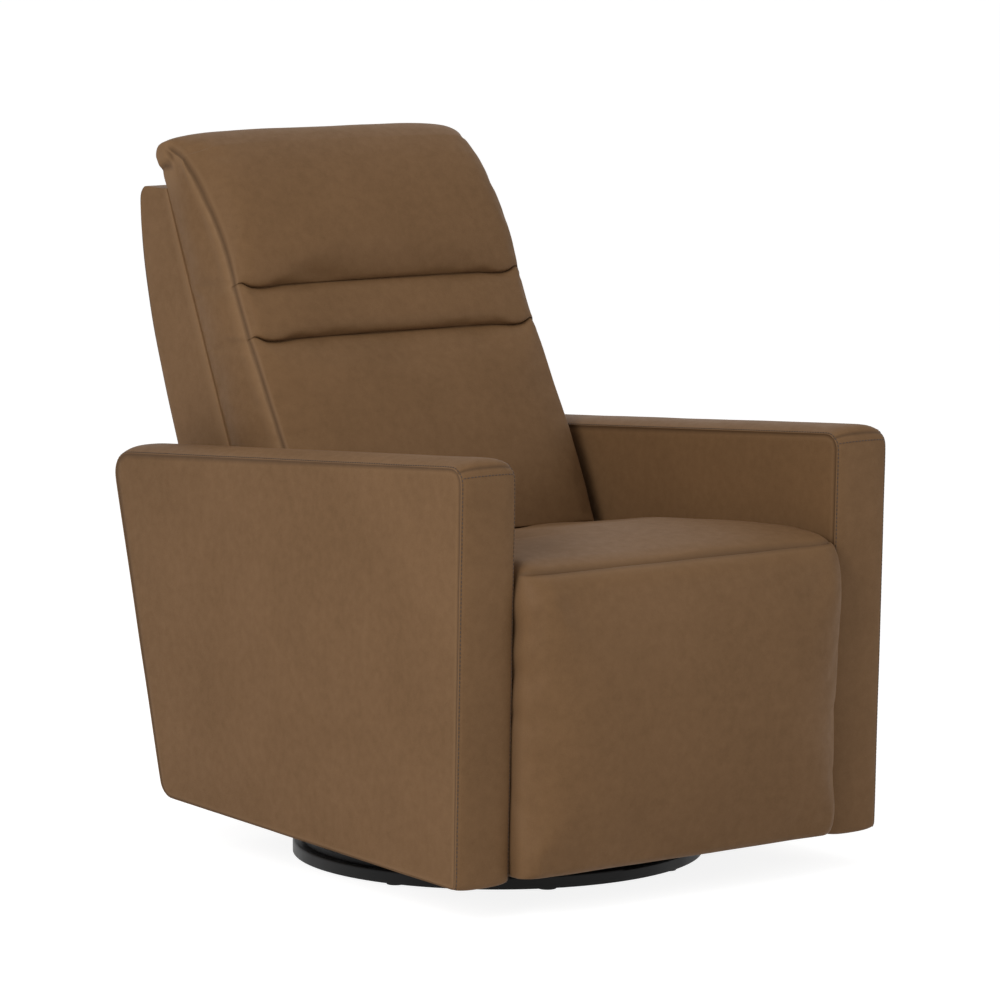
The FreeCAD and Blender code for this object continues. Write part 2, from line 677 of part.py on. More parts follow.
def glide_stand(side, sign):
    """A plate that stands on the ends of the beams and carries two glide pivots."""
    top = "(GlidePivotZ + StandMargin)"
    shoulder = "(GlidePivotZ - StandMargin)"
    ends = [("-StandFoot", UPPER_TOP), ("StandFoot", UPPER_TOP), (STAND_END, shoulder), (STAND_END, top)]
    ends += [(f"-{STAND_END}", top), (f"-{STAND_END}", shoulder)]
    corners = [(f"(SwivelY + {y})", z) for y, z in ends]
    holes = [((y, "GlidePivotZ"), "GlidePinRadius") for _, y in GLIDE_ENDS]
    return slab(f"glide_stand_{side}", sign, "StandX", STAND_OUT, corners, holes)


def washer_pin(name, sign, inner, outer, washer, point):
    """A pin with a washer near its tip."""
    shank = rod(name + "_shank", sign, inner, outer, point, "GlidePinRadius")
    ring = rod(name + "_washer", sign, *washer, point, "GlidePinRadius + WasherWidth")
    return fuse(name, [shank, ring])


def glide_parts():
    """The four hanging links, with pins from the stands at their tops and from the rails at their feet."""
    upper, lower = [], []
    for side, sign in SIDES:
        for end, y in GLIDE_ENDS:
            top, foot = (y, "GlidePivotZ"), (y, GLIDE_LOW_Z)
            holes = [(top, "GlidePinRadius + RunFit"), (foot, "GlidePinRadius + RunFit")]
            keep(bar(f"glide_link_{end}_{side}", sign, GLIDE_IN, GLIDE_OUT, top, foot, "GlideHalf", holes))
            outside = (f"({GLIDE_OUT} + SideClear)", f"({GLIDE_OUT} + SideClear + WasherThick)")
            upper.append(washer_pin(f"upper_pin_{end}_{side}", sign, "StandX", outside[1], outside, top))
            inside = (f"({GLIDE_IN} - SideClear - WasherThick)", f"({GLIDE_IN} - SideClear)")
            lower.append(washer_pin(f"lower_pin_{end}_{side}", sign, inside[0], RAIL_OUT, inside, foot))
    keep(group("glide_upper_pins", upper))
    keep(group("glide_lower_pins", lower))


def glide_rail(side, sign):
    """A rail of the carriage, hung on the lower ends of two links."""
    foot = f"({GLIDE_LOW_Z} - RailHeight/2)"
    ends = (TUBE_FRONT_Y, f"({TUBE_REAR_Y} + TubeSize)")
    corners = [(ends[0], foot), (ends[1], foot), (ends[1], RAIL_TOP), (ends[0], RAIL_TOP)]
    holes = [((y, GLIDE_LOW_Z), "GlidePinRadius") for _, y in GLIDE_ENDS]
    return slab(f"glide_rail_{side}", sign, RAIL_IN, RAIL_OUT, corners, holes)


def cross_tube(end, y):
    """A square tube across the carriage, on the rails and between the mechanism plates."""
    length = f"2*{PLATE_IN}"
    outer = box(f"tube_{end}_outside", f"-{PLATE_IN}", y, RAIL_TOP, length, "TubeSize", "TubeSize")
    inner_size = "TubeSize - 2*TubeWall"
    bore = (f"-{PLATE_IN}", f"{y} + TubeWall", f"{RAIL_TOP} + TubeWall")
    inner = box(f"tube_{end}_inside", *bore, length, inner_size, inner_size)
    return cut(f"cross_tube_{end}", outer, inner)


def tail_at(share):
    """Where the tail of the cross link is at a share of the footrest's travel, and which way it moves."""
    drive = math.radians(val("DriveRest") + share * val("DriveSwing"))
    cross = math.radians(val("CrossRest") - share * val("CrossSwing"))
    reach, tail = val("DriveCross"), val("CrossTail")
    y = val("DrivePivotY") - reach * math.cos(drive) + tail * math.cos(cross)
    z = val("DrivePivotZ") + reach * math.sin(drive) - tail * math.sin(cross)
    drive_rate, cross_rate = val("DriveSwing"), -val("CrossSwing")
    way_y = reach * math.sin(drive) * drive_rate - tail * math.sin(cross) * cross_rate
    way_z = reach * math.cos(drive) * drive_rate - tail * math.cos(cross) * cross_rate
    return Vector(0, y, z), Vector(0, way_y, way_z).normalize()


# Points along the cam slot between its ends.
SLOT_STEPS = 12


def cam_slot(name, sign):
    """The slot that the cross link's roller rides in, cut along the roller's whole path."""
    half = val("RollerRadius + SlotClear")
    path = [tail_at(step / SLOT_STEPS) for step in range(SLOT_STEPS + 1)]
    edges = []
    for way in (1, -1):
        curve = Part.BSplineCurve()
        curve.interpolate([point + Vector(1, 0, 0).cross(along) * half * way for point, along in path])
        edges.append(curve.toShape())
    for (point, along), forward in ((path[0], -1), (path[-1], 1)):
        across = Vector(1, 0, 0).cross(along) * half
        edges.append(Part.Arc(point + across, point + along * half * forward, point - across).toShape())
    face = Part.Face(Part.Wire(Part.__sortEdges__(edges)))
    thickness = val("BarThick")
    slot = doc.addObject("Part::Feature", name)
    slot.Shape = face.extrude(Vector(thickness, 0, 0))
    slot.Placement.Base = Vector(val(start_x(sign, PLATE_IN, PLATE_OUT)), 0, 0)
    return slot


BOLT_PLACES = (
    ("BoltFrontY", "BoltUpperZ"),
    ("BoltRearY", "BoltUpperZ"),
    ("BoltTailY", "BoltLowerZ"),
)


def mechanism_plate(side, sign):
    """A steel plate bolted to an arm. It carries the footrest linkage and the seat."""
    corners = [("PlateFrontY", "PlateTopFrontZ"), ("PlateFrontY", "PlateChinZ"), ("PlateToeY", RAIL_TOP)]
    corners += [("PlateTailY", RAIL_TOP), ("PlateTailY", "PlateTailZ"), ("PlateRearY", "PlateStepZ")]
    corners += [("PlateRearY", "PlateTopRearZ")]
    holes = [(DRIVE_PIVOT, "DrivePinRadius")]
    holes += [(point, "BoltRadius") for point in BOLT_PLACES]
    holes += [((y, "PlateHoleZ"), "PlateHole") for y in ("PlateHoleFrontY", "PlateHoleRearY")]
    if side == "right":
        holes.append((("LeverPivotY", "LeverPivotZ"), "StudRadius"))
    blank = slab(f"plate_blank_{side}", sign, PLATE_IN, PLATE_OUT, corners, holes)
    return cut(f"mechanism_plate_{side}", blank, cam_slot(f"cam_slot_{side}", sign))


def mechanism_bolts():
    """Bolts from the mechanism plates into the arm frames, each with its head and a spacer sleeve."""
    bolts = []
    for side, sign in SIDES:
        for number, point in enumerate(BOLT_PLACES):
            name = f"bolt_{side}_{number}"
            wide = "BoltRadius + BoltHead"
            head_in = f"({PLATE_IN} - BarThick)"
            shank = rod(name + "_shank", sign, head_in, f"({ARM_IN} + BoltDepth)", point, "BoltRadius")
            head = rod(name + "_head", sign, head_in, PLATE_IN, point, wide)
            sleeve = rod(name + "_sleeve", sign, PLATE_OUT, ARM_IN, point, wide)
            bolts.append(fuse(name, [shank, head, sleeve]))
    return group("mechanism_bolts", bolts)


def back_pivot_pins():
    """Hinge pins of the back, seated in the arms, each with a flange, a collar and an end cap."""
    pins = []
    for side, sign in SIDES:
        name = f"hinge_pin_{side}"
        cap_out = f"({EAR_IN} - SideClear)"
        cap_in = f"({cap_out} - WasherThick)"
        flange_in = f"({ARM_IN} - HingeFlangeThick)"
        shank = rod(name + "_shank", sign, cap_in, f"({ARM_IN} + BoltDepth)", HINGE, "HingePinRadius")
        cap = rod(name + "_cap", sign, cap_in, cap_out, HINGE, "HingeCollar")
        collar = rod(name + "_collar", sign, f"({EAR_OUT} + SideClear)", flange_in, HINGE, "HingeCollar")
        flange = rod(name + "_flange", sign, flange_in, ARM_IN, HINGE, "HingeFlange")
        pins.append(fuse(name, [shank, cap, collar, flange]))
    return group("back_pivot_pins", pins)


def arm_corners(inset, foot):
    """The corners of the arm's outline, moved in by an inset, from the front top round by the front foot."""
    return [
        (f"(ArmTopFrontY + {inset})", f"(ArmTopFrontZ - {inset})"),
        (f"(ArmFootFrontY + {inset})", f"(ArmFootFrontZ + {foot})"),
        (f"(ArmFootRearY - {inset})", f"(ArmFootRearZ + {foot})"),
        (f"(ArmTopRearY - {inset})", f"(ArmTopRearZ - {inset})"),
    ]


def arm_cover(side, sign, pins):
    """The padded cover of an arm: a closed shape with a hollow for the frame, open below."""
    corners = arm_corners("0", "0")
    outside = slab(f"arm_outside_{side}", sign, ARM_IN, ARM_OUT, corners)
    round_corner(outside, corners[0], "ArmNoseRound")
    round_corner(outside, corners[2], "ArmHeelRound")
    round_corner(outside, corners[3], "ArmRearRound")
    hollow = arm_corners("ArmWall", "(0 - ArmWall)")
    core = slab(f"arm_hollow_{side}", sign, f"({ARM_IN} + ArmWall)", f"({ARM_OUT} - ArmWall)", hollow)
    round_corner(core, hollow[3], "ArmRearRound - ArmWall")
    shell = cut(f"arm_shell_{side}", outside, core)
    return cut(f"arm_cover_{side}", shell, pins)


def web_y(upper, lower, z):
    """Where the inner edge of a post is at a height."""
    return f"({lower[0]} + ({z} - {lower[1]})*({upper[0]} - {lower[0]})/({upper[1]} - {lower[1]}))"


def arm_frame(side, sign, pins):
    """The wooden frame of an arm: two posts, two rails and a web that takes the bolts and the hinge pin."""
    inner, outer = f"({ARM_IN} + ArmWall)", f"({ARM_IN} + ArmWall + ArmFrameThick)"
    inset = "(ArmWall + ArmPadding)"
    rim = arm_corners(inset, "ArmFrameRise")
    inside = arm_corners(f"({inset} + ArmRail)", "(ArmFrameRise + ArmRail)")
    members = []
    for number, member in enumerate(("front_post", "bottom_rail", "rear_post", "top_rail")):
        after = (number + 1) % 4
        corners = [rim[number], rim[after], inside[after], inside[number]]
        members.append(slab(f"arm_{member}_{side}", sign, inner, outer, corners))
    web = []
    for z in ("(ArmWebZ - ArmWebHeight/2)", "(ArmWebZ + ArmWebHeight/2)"):
        web.append(((web_y(inside[0], inside[1], z), z), (web_y(inside[3], inside[2], z), z)))
    corners = [web[0][0], web[0][1], web[1][1], web[1][0]]
    members.append(slab(f"arm_web_{side}", sign, inner, outer, corners))
    drilled = [cut(f"{member.Name}_drilled", member, pins) for member in members]
    return group(f"arm_frame_{side}", drilled)


def seat_box(name, x, along, up, length, width, height):
    """A block that lies along the tilted seat, placed from the front of the cushion's underside."""
    piece = doc.addObject("Part::Box", name)
    bind(piece, Length=length, Width=width, Height=height)
    piece.Placement = FreeCAD.Placement(Vector(), FreeCAD.Rotation(Vector(-1, 0, 0), val("SeatTilt")))
    piece.setExpression("Placement.Rotation.Angle", tie("SeatTilt"))
    y = f"SeatFrontY + ({along})*cos(SeatTilt) + ({up})*sin(SeatTilt)"
    z = f"SeatPlaneZ - ({along})*sin(SeatTilt) + ({up})*cos(SeatTilt)"
    place(piece, x, y, z)
    return piece


def seat_angle(side, sign):
    """A steel angle on a mechanism plate, under a side rail of the seat frame."""
    inner = f"({SEAT_FRAME_OUT} - SeatRailThick)"
    top = "(0 - SeatRailHeight)"
    low = f"({top} - BarThick)"
    leg_size = (f"{PLATE_IN} - {inner}", "AngleLength", "BarThick")
    leg = seat_box(f"angle_leg_{side}", start_x(sign, inner, PLATE_IN), "AngleFrontY", low, *leg_size)
    wall_x = start_x(sign, f"({PLATE_IN} - BarThick)", PLATE_IN)
    wall_size = ("BarThick", "AngleLength", "AngleHeight")
    wall = seat_box(f"angle_wall_{side}", wall_x, "AngleFrontY", low, *wall_size)
    return fuse(f"seat_angle_{side}", [leg, wall])


def seat_frame():
    """The four wooden rails under the seat cushion."""
    low = "(0 - SeatRailHeight)"
    inner = f"({SEAT_FRAME_OUT} - SeatRailThick)"
    rails = []
    for side, sign in SIDES:
        x = start_x(sign, inner, SEAT_FRAME_OUT)
        size = ("SeatRailThick", "SeatFrameLength", "SeatRailHeight")
        rails.append(seat_box(f"seat_rail_{side}", x, "SeatFrameSetback", low, *size))
    rear = "(SeatFrameSetback + SeatFrameLength - SeatRailThick)"
    for end, along in (("front", "SeatFrameSetback"), ("rear", rear)):
        size = (f"2*{inner}", "SeatRailThick", "SeatRailHeight")
        rails.append(seat_box(f"seat_rail_{end}", f"-{inner}", along, low, *size))
    return group("seat_frame", rails)


def sinuous(name, length):
    """A sinuous spring along Y: straight runs across it, joined by half turns, between two rails."""
    count = max(2, int(length // val("SpringPitch")))
    turn = length / count / 2
    half = val("SpringWidth") / 2 - turn
    edges = []
    for run in range(count + 1):
        way = 1 if run % 2 == 0 else -1
        start = Vector(-way * half, 2 * turn * run, 0)
        end = Vector(way * half, 2 * turn * run, 0)
        edges.append(Part.makeLine(start, end))
        if run < count:
            top = end + Vector(way * turn, turn, 0)
            edges.append(Part.Arc(end, top, end + Vector(0, 2 * turn, 0)).toShape())
    path = Part.Wire(edges)
    wire_radius = val("SpringWire")
    section = Part.Wire(Part.makeCircle(wire_radius, Vector(-half, 0, 0), Vector(1, 0, 0)))
    spring = doc.addObject("Part::Feature", name)
    spring.Shape = path.makePipeShell([section], True, False)
    return spring


def spring_xs():
    """The middles of the springs, evenly across the space between the side rails."""
    half = val(f"{SEAT_FRAME_OUT} - SeatRailThick")
    count = int(val("SpringCount"))
    return [half * (2 * (number + 0.5) / count - 1) for number in range(count)]


def seat_springs():
    """Sinuous springs from the front rail of the seat frame to its rear rail."""
    wire_radius = val("SpringWire")
    length = val("SeatFrameLength - 2*SeatRailThick") - 2 * wire_radius
    tilt = FreeCAD.Rotation(Vector(-1, 0, 0), val("SeatTilt"))
    corner = Vector(0, val("SeatFrontY"), val("SeatPlaneZ"))
    along = val("SeatFrameSetback + SeatRailThick") + wire_radius
    springs = []
    for number, x in enumerate(spring_xs()):
        spring = sinuous(f"seat_spring_{number}", length)
        base = corner + tilt.multVec(Vector(x, along, -val("SpringSink")))
        spring.Placement = FreeCAD.Placement(base, tilt)
        springs.append(spring)
    return group("seat_springs", springs)


def seat_cushion():
    """The seat cushion: crowned, drawn in at its sides, with a nose over the top edge of the footrest."""
    front, rear = val("SeatFrontY"), val("SeatRearY")
    drop = val("SeatNoseDrop")

    def profile(share):
        thick = val("SeatThick") - val("SeatDrop") * share ** DRAW_POWER
        crown = val("SeatCrown") * (1 - share ** 2)
        nose = front - val("SeatNose") * (1 - share ** NOSE_POWER)
        edge = val("SeatRearRound")
        front_foot, rear_foot = val(seat_z("SeatFrontY")), val(seat_z("SeatRearY"))
        rear_low = (rear, rear_foot + thick - edge)
        rear_high = (rear - edge, rear_foot + thick)
        shoulder = (front + 2 * drop, front_foot + thick + val("SeatBrow"))
        lip = (nose, front_foot + thick - drop)
        return [
            (front, front_foot),
            (rear, rear_foot),
            rear_low,
            (*between(rear_low, rear_high, -edge / 5), "arc"),
            rear_high,
            (*between(rear_high, shoulder, -crown - val("SeatBrow")), "arc"),
            shoulder,
            (*between(shoulder, lip, -drop / 4), "arc"),
            lip,
            (front, lip[1] - drop),
        ]

    return soft("seat_cushion", val(CUSHION_HALF), profile)


def rear_rail():
    """The padded rail across the foot of the chair's rear, between the arms."""
    size = (f"2*{ARM_IN}", "RearRailThick", "RearRailTopZ - RearRailFootZ")
    return box("rear_rail", f"-{ARM_IN}", "RearRailFrontY", "RearRailFootZ", *size)


def drive_pivot_pins():
    """The fixed pins of the drive links in the mechanism plates, each with a spacer beside the link."""
    pins = []
    for side, sign in SIDES:
        name = f"drive_pin_{side}"
        inner = f"({DRIVE_IN} + SideClear)"
        shank = rod(name + "_shank", sign, inner, PLATE_OUT, DRIVE_PIVOT, "DrivePinRadius")
        spacer_in = f"({DRIVE_OUT} + SideClear)"
        spacer = rod(name + "_spacer", sign, spacer_in, PLATE_IN, DRIVE_PIVOT, "DrivePinRadius + RivetHead")
        pins.append(fuse(name, [shank, spacer]))
    return group("drive_pivot_pins", pins)


def rivet(name, sign, fixed, turning, point):
    """A rivet fixed in one link, with its far head clear of the link that turns on it."""
    wide = "(RivetRadius + RivetHead)"
    if val(fixed[0]) > val(turning[0]):
        tip = (f"({turning[0]} - SideClear - RivetHeadThick)", f"({turning[0]} - SideClear)")
        root = (fixed[1], f"({fixed[1]} + RivetHeadThick)")
        ends = (tip[0], root[1])
    else:
        tip = (f"({turning[1]} + SideClear)", f"({turning[1]} + SideClear + RivetHeadThick)")
        root = (f"({fixed[0]} - RivetHeadThick)", fixed[0])
        ends = (root[0], tip[1])
    shank = rod(name + "_shank", sign, *ends, point, "RivetRadius")
    tip_head = rod(name + "_tip_head", sign, *tip, point, wide)
    root_head = rod(name + "_root_head", sign, *root, point, wide)
    return fuse(name, [shank, tip_head, root_head])


def footrest_links():
    """The drive links with their torque tube, the cross links with their rollers, and the extension links."""
    turning = "(RivetRadius + RunFit)"
    drive, cross, bracket = (DRIVE_IN, DRIVE_OUT), (CROSS_IN, CROSS_OUT), (BRACKET_IN, BRACKET_OUT)
    drive_rivets, rollers, foot_rivets = [], [], []
    for side, sign in SIDES:
        holes = [(CROSS_PIVOT, "RivetRadius"), (DRIVE_END, "RivetRadius")]
        holes.append((DRIVE_PIVOT, "DrivePinRadius + RunFit"))
        keep(bar(f"drive_link_{side}", sign, *drive, DRIVE_PIVOT, DRIVE_END, "LinkHalf", holes))
        holes = [(CROSS_PIVOT, turning), (CROSS_END, turning), (CROSS_TAIL, "RivetRadius")]
        keep(bar(f"cross_link_{side}", sign, *cross, CROSS_TAIL, CROSS_END, "LinkHalf", holes))
        holes = [(DRIVE_END, turning), (EXTENSION_END, turning)]
        keep(bar(f"extension_link_{side}", sign, *cross, DRIVE_END, EXTENSION_END, "LinkHalf", holes))
        drive_rivets.append(rivet(f"cross_rivet_{side}", sign, drive, cross, CROSS_PIVOT))
        drive_rivets.append(rivet(f"drive_end_rivet_{side}", sign, drive, cross, DRIVE_END))
        foot_rivets.append(rivet(f"cross_end_rivet_{side}", sign, bracket, cross, CROSS_END))
        foot_rivets.append(rivet(f"extension_end_rivet_{side}", sign, bracket, cross, EXTENSION_END))
        stud = rod(f"tail_stud_{side}", sign, CROSS_IN, PLATE_OUT, CROSS_TAIL, "RivetRadius")
        roller = rod(f"tail_roller_{side}", sign, PLATE_IN, PLATE_OUT, CROSS_TAIL, "RollerRadius")
        rollers.append(fuse(f"roller_{side}", [stud, roller]))
    keep(group("drive_link_rivets", drive_rivets))
    keep(group("cross_link_rollers", rollers))
    keep(group("footrest_rivets", foot_rivets))
    keep(rod("torque_tube", 1, f"-{DRIVE_IN}", DRIVE_IN, DRIVE_PIVOT, "TorqueRadius"))


def footrest_bracket(side, sign):
    """A plate with the footrest's two pivots, and a flange on the board."""
    margin = "BracketMargin"
    corners = [
        (f"({EXTENSION_END[0]} + {margin})", f"({EXTENSION_END[1]} - {margin})"),
        (f"({EXTENSION_END[0]} + {margin})", f"({EXTENSION_END[1]} + {margin})"),
        (f"({CROSS_END[0]} + {margin})", f"({CROSS_END[1]} - {margin})"),
        (f"({CROSS_END[0]} + {margin})", f"({CROSS_END[1]} + {margin})"),
        ("BoardRearY", f"({CROSS_END[1]} + {margin})"),
        ("BoardRearY", f"({EXTENSION_END[1]} - {margin})"),
    ]
    holes = [(CROSS_END, "RivetRadius"), (EXTENSION_END, "RivetRadius")]
    web = slab(f"bracket_web_{side}", sign, BRACKET_IN, BRACKET_OUT, corners, holes)
    inner = f"({BRACKET_OUT} - FlangeWidth)"
    low = corners[0][1]
    size = ("FlangeWidth", "BarThick", f"{corners[3][1]} - {low}")
    flange = box(f"bracket_flange_{side}", start_x(sign, inner, BRACKET_OUT), "BoardRearY", low, *size)
    return fuse(f"footrest_bracket_{side}", [web, flange])


def footrest_board():
    """The plywood board behind the footrest pad."""
    size = ("2*BoardHalf", "BoardThick", "BoardTopZ - BoardFootZ")
    return box("footrest_board", "-BoardHalf", "BoardRearY - BoardThick", "BoardFootZ", *size)


def footrest_pad():
    """The pad that is the chair's front while the footrest is closed, swollen and drawn in at its sides."""
    back = val("BoardRearY - BoardThick")
    foot, top = val("PadFootZ"), val("PadTopZ")
    brow, chin = top - val("PadBrow"), foot + val("PadChin")

    def profile(share):
        swell = val("PadCrown") * (1 - share ** 2) - val("PadDraw") * share ** DRAW_POWER
        upper = (back - val("PadDepth") - swell, brow)
        edge = (back - val("PadTopDepth") - swell / 2, top)
        lower = (back - val("PadFootDepth") - swell, chin)
        heel = (back - val("PadTopDepth") / 2, foot)
        return [
            (back, foot),
            (back, top),
            edge,
            (*between(edge, upper, -val("PadTopDepth")), "arc"),
            upper,
            (*between(upper, lower, -val("PadTopDepth") / 2), "arc"),
            lower,
            (*between(lower, heel, -val("PadTopDepth") / 2), "arc"),
            heel,
        ]

    return soft("footrest_pad", val(CUSHION_HALF), profile)


def shell_profile(front, top, rear, side_z):
    """The side outline of the back shell above its tail, with its rear, top and front moved in."""
    return [
        (f"({lean_y(side_z)} - {front})", side_z),
        (f"({shell_rear_y(side_z)} - {rear})", side_z),
        (f"(ShellWaistY - {rear})", "ShellWaistZ", f"(ShellCurve - {rear})"),
        (f"(ShellTopRearY - {rear})", f"(ShellTopZ - {top})"),
        (f"({lean_y(f'(ShellTopZ - {top})')} - {front})", f"(ShellTopZ - {top})"),
    ]


def back_shell():
    """The padded outside of the back, open at its front, with a tail down between the arms."""
    profile = shell_profile("0", "0", "0", "ShellSideZ")
    outside = slab("shell_outside", 1, f"-{BACK_HALF}", BACK_HALF, profile)
    round_corner(outside, profile[3], "ShellTopRound")
    reach = "(2*ShellWall)"
    hollow = shell_profile(reach, "ShellWall", "ShellWall", "(ShellSideZ - ShellWall)")
    core = slab("shell_hollow", 1, f"-{EAR_OUT}", EAR_OUT, hollow)
    shell = cut("shell_sides", outside, core)
    rear_y = shell_rear_y("ShellSideZ")
    corners = [("(ShellFootY - ShellTail)", "ShellFootZ"), ("ShellFootY", "ShellFootZ")]
    corners += [(rear_y, "ShellSideZ"), (f"({rear_y} - ShellTail)", "ShellSideZ")]
    tail = slab("shell_tail", 1, f"-{BACK_HALF}", BACK_HALF, corners)
    return fuse("back_shell", [shell, tail])


def leaning(low, high, front, rear):
    """The outline of a board that lies along the lean of the back between two heights."""
    return [
        (f"({lean_y(low)} + {front})", low),
        (f"({lean_y(low)} + {rear})", low),
        (f"({lean_y(high)} + {rear})", high),
        (f"({lean_y(high)} + {front})", high),
    ]


BACK_RAILS = (
    ("low", "BackRailLowZ", "(BackRailLowZ + BackRailHeight)"),
    ("high", "(BackPostTopZ - BackRailHeight)", "BackPostTopZ"),
)


def back_frame():
    """The wooden frame of the back: two posts and two rails behind the cushion."""
    front = "BackFrameEase"
    members = []
    for side, sign in SIDES:
        corners = leaning("BackPostFootZ", "BackPostTopZ", front, f"({front} + BackPostDepth)")
        members.append(slab(f"back_post_{side}", sign, POST_IN, EAR_IN, corners))
    for end, low, high in BACK_RAILS:
        corners = leaning(low, high, front, f"({front} + BackPostThick)")
        members.append(slab(f"back_rail_{end}", 1, f"-{POST_IN}", POST_IN, corners))
    return group("back_frame", members)


def back_springs():
    """Sinuous springs from the lower rail of the back to its upper rail."""
    wire_radius = val("SpringWire")
    lean = math.radians(val("BackLean"))
    foot_z = val(BACK_RAILS[0][2])
    rise = val(BACK_RAILS[1][1]) - foot_z
    length = (rise - 2 * wire_radius) / math.cos(lean)
    turn = FreeCAD.Rotation(Vector(1, 0, 0), 90 - val("BackLean"))
    depth = val("BackFrameEase + BackPostThick/2")
    springs = []
    for number, x in enumerate(spring_xs()):
        spring = sinuous(f"back_spring_{number}", length)
        z = foot_z + wire_radius
        base = Vector(x, val(lean_y(f"({z})")) + depth, z)
        spring.Placement = FreeCAD.Placement(base, turn)
        springs.append(spring)
    return group("back_springs", springs)


def back_ear(side, sign):
    """A steel ear on a post of the back, with the hinge bore at its front."""
    end = ("EarEndY", "EarEndZ")
    holes = [(HINGE, "HingePinRadius + RunFit")]
    return bar(f"back_ear_{side}", sign, EAR_IN, EAR_OUT, HINGE, end, "EarHalf", holes)


def back_cushion():
    """The boxed back cushion: three swollen panels between two sewn channels, and a roll over the top."""
    rear_gap = val("CushionGap")

    def plane(z):
        return val(lean_y(f"({z})")) - rear_gap

    def profile(share):
        draw = val("CushionDraw") * share ** DRAW_POWER
        shift = draw - val("CushionCrown") * (1 - share ** 2)

        def front(z, depth):
            return plane(val(z)) - val(depth) + shift, val(z)

        swell = val("PanelSwell")
        foot = front("CushionFootZ", "CushionFootDepth")
        low = front("HeadTopZ - HeadPanel - ChannelPitch", "ChannelLowDepth")
        high = front("HeadTopZ - HeadPanel", "ChannelHighDepth")
        brow = front("HeadTopZ - HeadBrowDrop", "HeadBrowDepth")
        top_z, rear_z = val("HeadTopZ"), val("HeadTopZ - HeadRearDrop")
        top = (plane(top_z) - val("HeadTopDepth"), top_z - draw)
        rear = (plane(rear_z) - val("HeadRearDepth"), rear_z - draw / 2)
        flap_z = val("HeadTopZ - HeadFlapDrop")
        flap = (plane(flap_z), flap_z)
        heel = (plane(val("CushionFootZ")), val("CushionFootZ"))
        return [
            heel,
            foot,
            (*between(foot, low, swell), "arc"),
            low,
            (*between(low, high, swell), "arc"),
            high,
            (*between(high, brow, swell * 2), "arc"),
            brow,
            (*between(brow, top, swell), "arc"),
            top,
            (*between(top, rear, swell / 4), "arc"),
            rear,
            flap,
        ]

    return soft("back_cushion", val(BACK_HALF), profile)


LEVER_OUT = f"({ARM_IN} - LeverClear)"
LEVER_IN = f"({LEVER_OUT} - LeverThick)"


def release_parts():
    """The release lever on its stud beside the right plate, with a grip in the gap beside the seat."""
    pivot = ("LeverPivotY", "LeverPivotZ")
    tip = ("LeverPivotY", "(LeverPivotZ + LeverLength)")
    stud = rod("stud_shank", -1, PLATE_IN, f"({LEVER_OUT} + StudProud)", pivot, "StudRadius")
    spacer = rod("stud_spacer", -1, PLATE_OUT, f"({LEVER_IN} - SideClear)", pivot, "StudRadius + WasherWidth")
    keep(fuse("release_stud", [stud, spacer]))
    bore = (pivot, "StudRadius + RunFit")
    lever = keep(bar("release_lever", -1, LEVER_IN, LEVER_OUT, pivot, tip, "LeverHalf", [bore]))
    grip = doc.addObject("Part::Cylinder", "grip_blank")
    grip.Placement = FreeCAD.Placement(Vector(), FreeCAD.Rotation(Vector(1, 0, 0), -90))
    bind(grip, Radius="GripRadius", Height="GripLength")
    place(grip, f"-({ARM_IN} - GripClear - GripRadius)", "LeverPivotY - GripLength/2", tip[1])
    keep(cut("release_grip", grip, lever))


keep(base_ring())
keep(base_cross())
keep(base_feet())
swivel_plates()
keep(swivel_balls())
swivel_bolt()
keep(stand_beams())
for side, sign in SIDES:
    keep(glide_stand(side, sign))
glide_parts()
for side, sign in SIDES:
    keep(glide_rail(side, sign))
keep(cross_tube("front", TUBE_FRONT_Y))
keep(cross_tube("rear", TUBE_REAR_Y))
for side, sign in SIDES:
    keep(mechanism_plate(side, sign))
bolts = keep(mechanism_bolts())
hinge_pins = keep(back_pivot_pins())
arm_pins = fuse("arm_pins", [bolts, hinge_pins])
for side, sign in SIDES:
    keep(arm_cover(side, sign, arm_pins))
    keep(arm_frame(side, sign, arm_pins))
    keep(seat_angle(side, sign))
keep(seat_frame())
keep(seat_springs())
keep(seat_cushion())
keep(rear_rail())
keep(drive_pivot_pins())
footrest_links()
for side, sign in SIDES:
    keep(footrest_bracket(side, sign))
keep(footrest_board())
keep(footrest_pad())
keep(back_shell())
keep(back_frame())
keep(back_springs())
for side, sign in SIDES:
    keep(back_ear(side, sign))
keep(back_cushion())
release_parts()

doc.recompute()
for piece in doc.Objects:
    if "Invalid" in piece.State or "Error" in piece.State:
        raise RuntimeError(f"{piece.Label} failed: {piece.State}")
for piece in nodes:
    if piece.Shape.isNull() or not piece.Shape.isValid():
        raise RuntimeError(f"{piece.Label} is not a valid solid")
os.makedirs("parts", exist_ok=True)
for piece in nodes:
    piece.Shape.exportStep(f"parts/{piece.Label}.step")
print(len(nodes), "pieces written")
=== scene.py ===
import math

import bpy
from mathutils import Matrix, Vector, noise


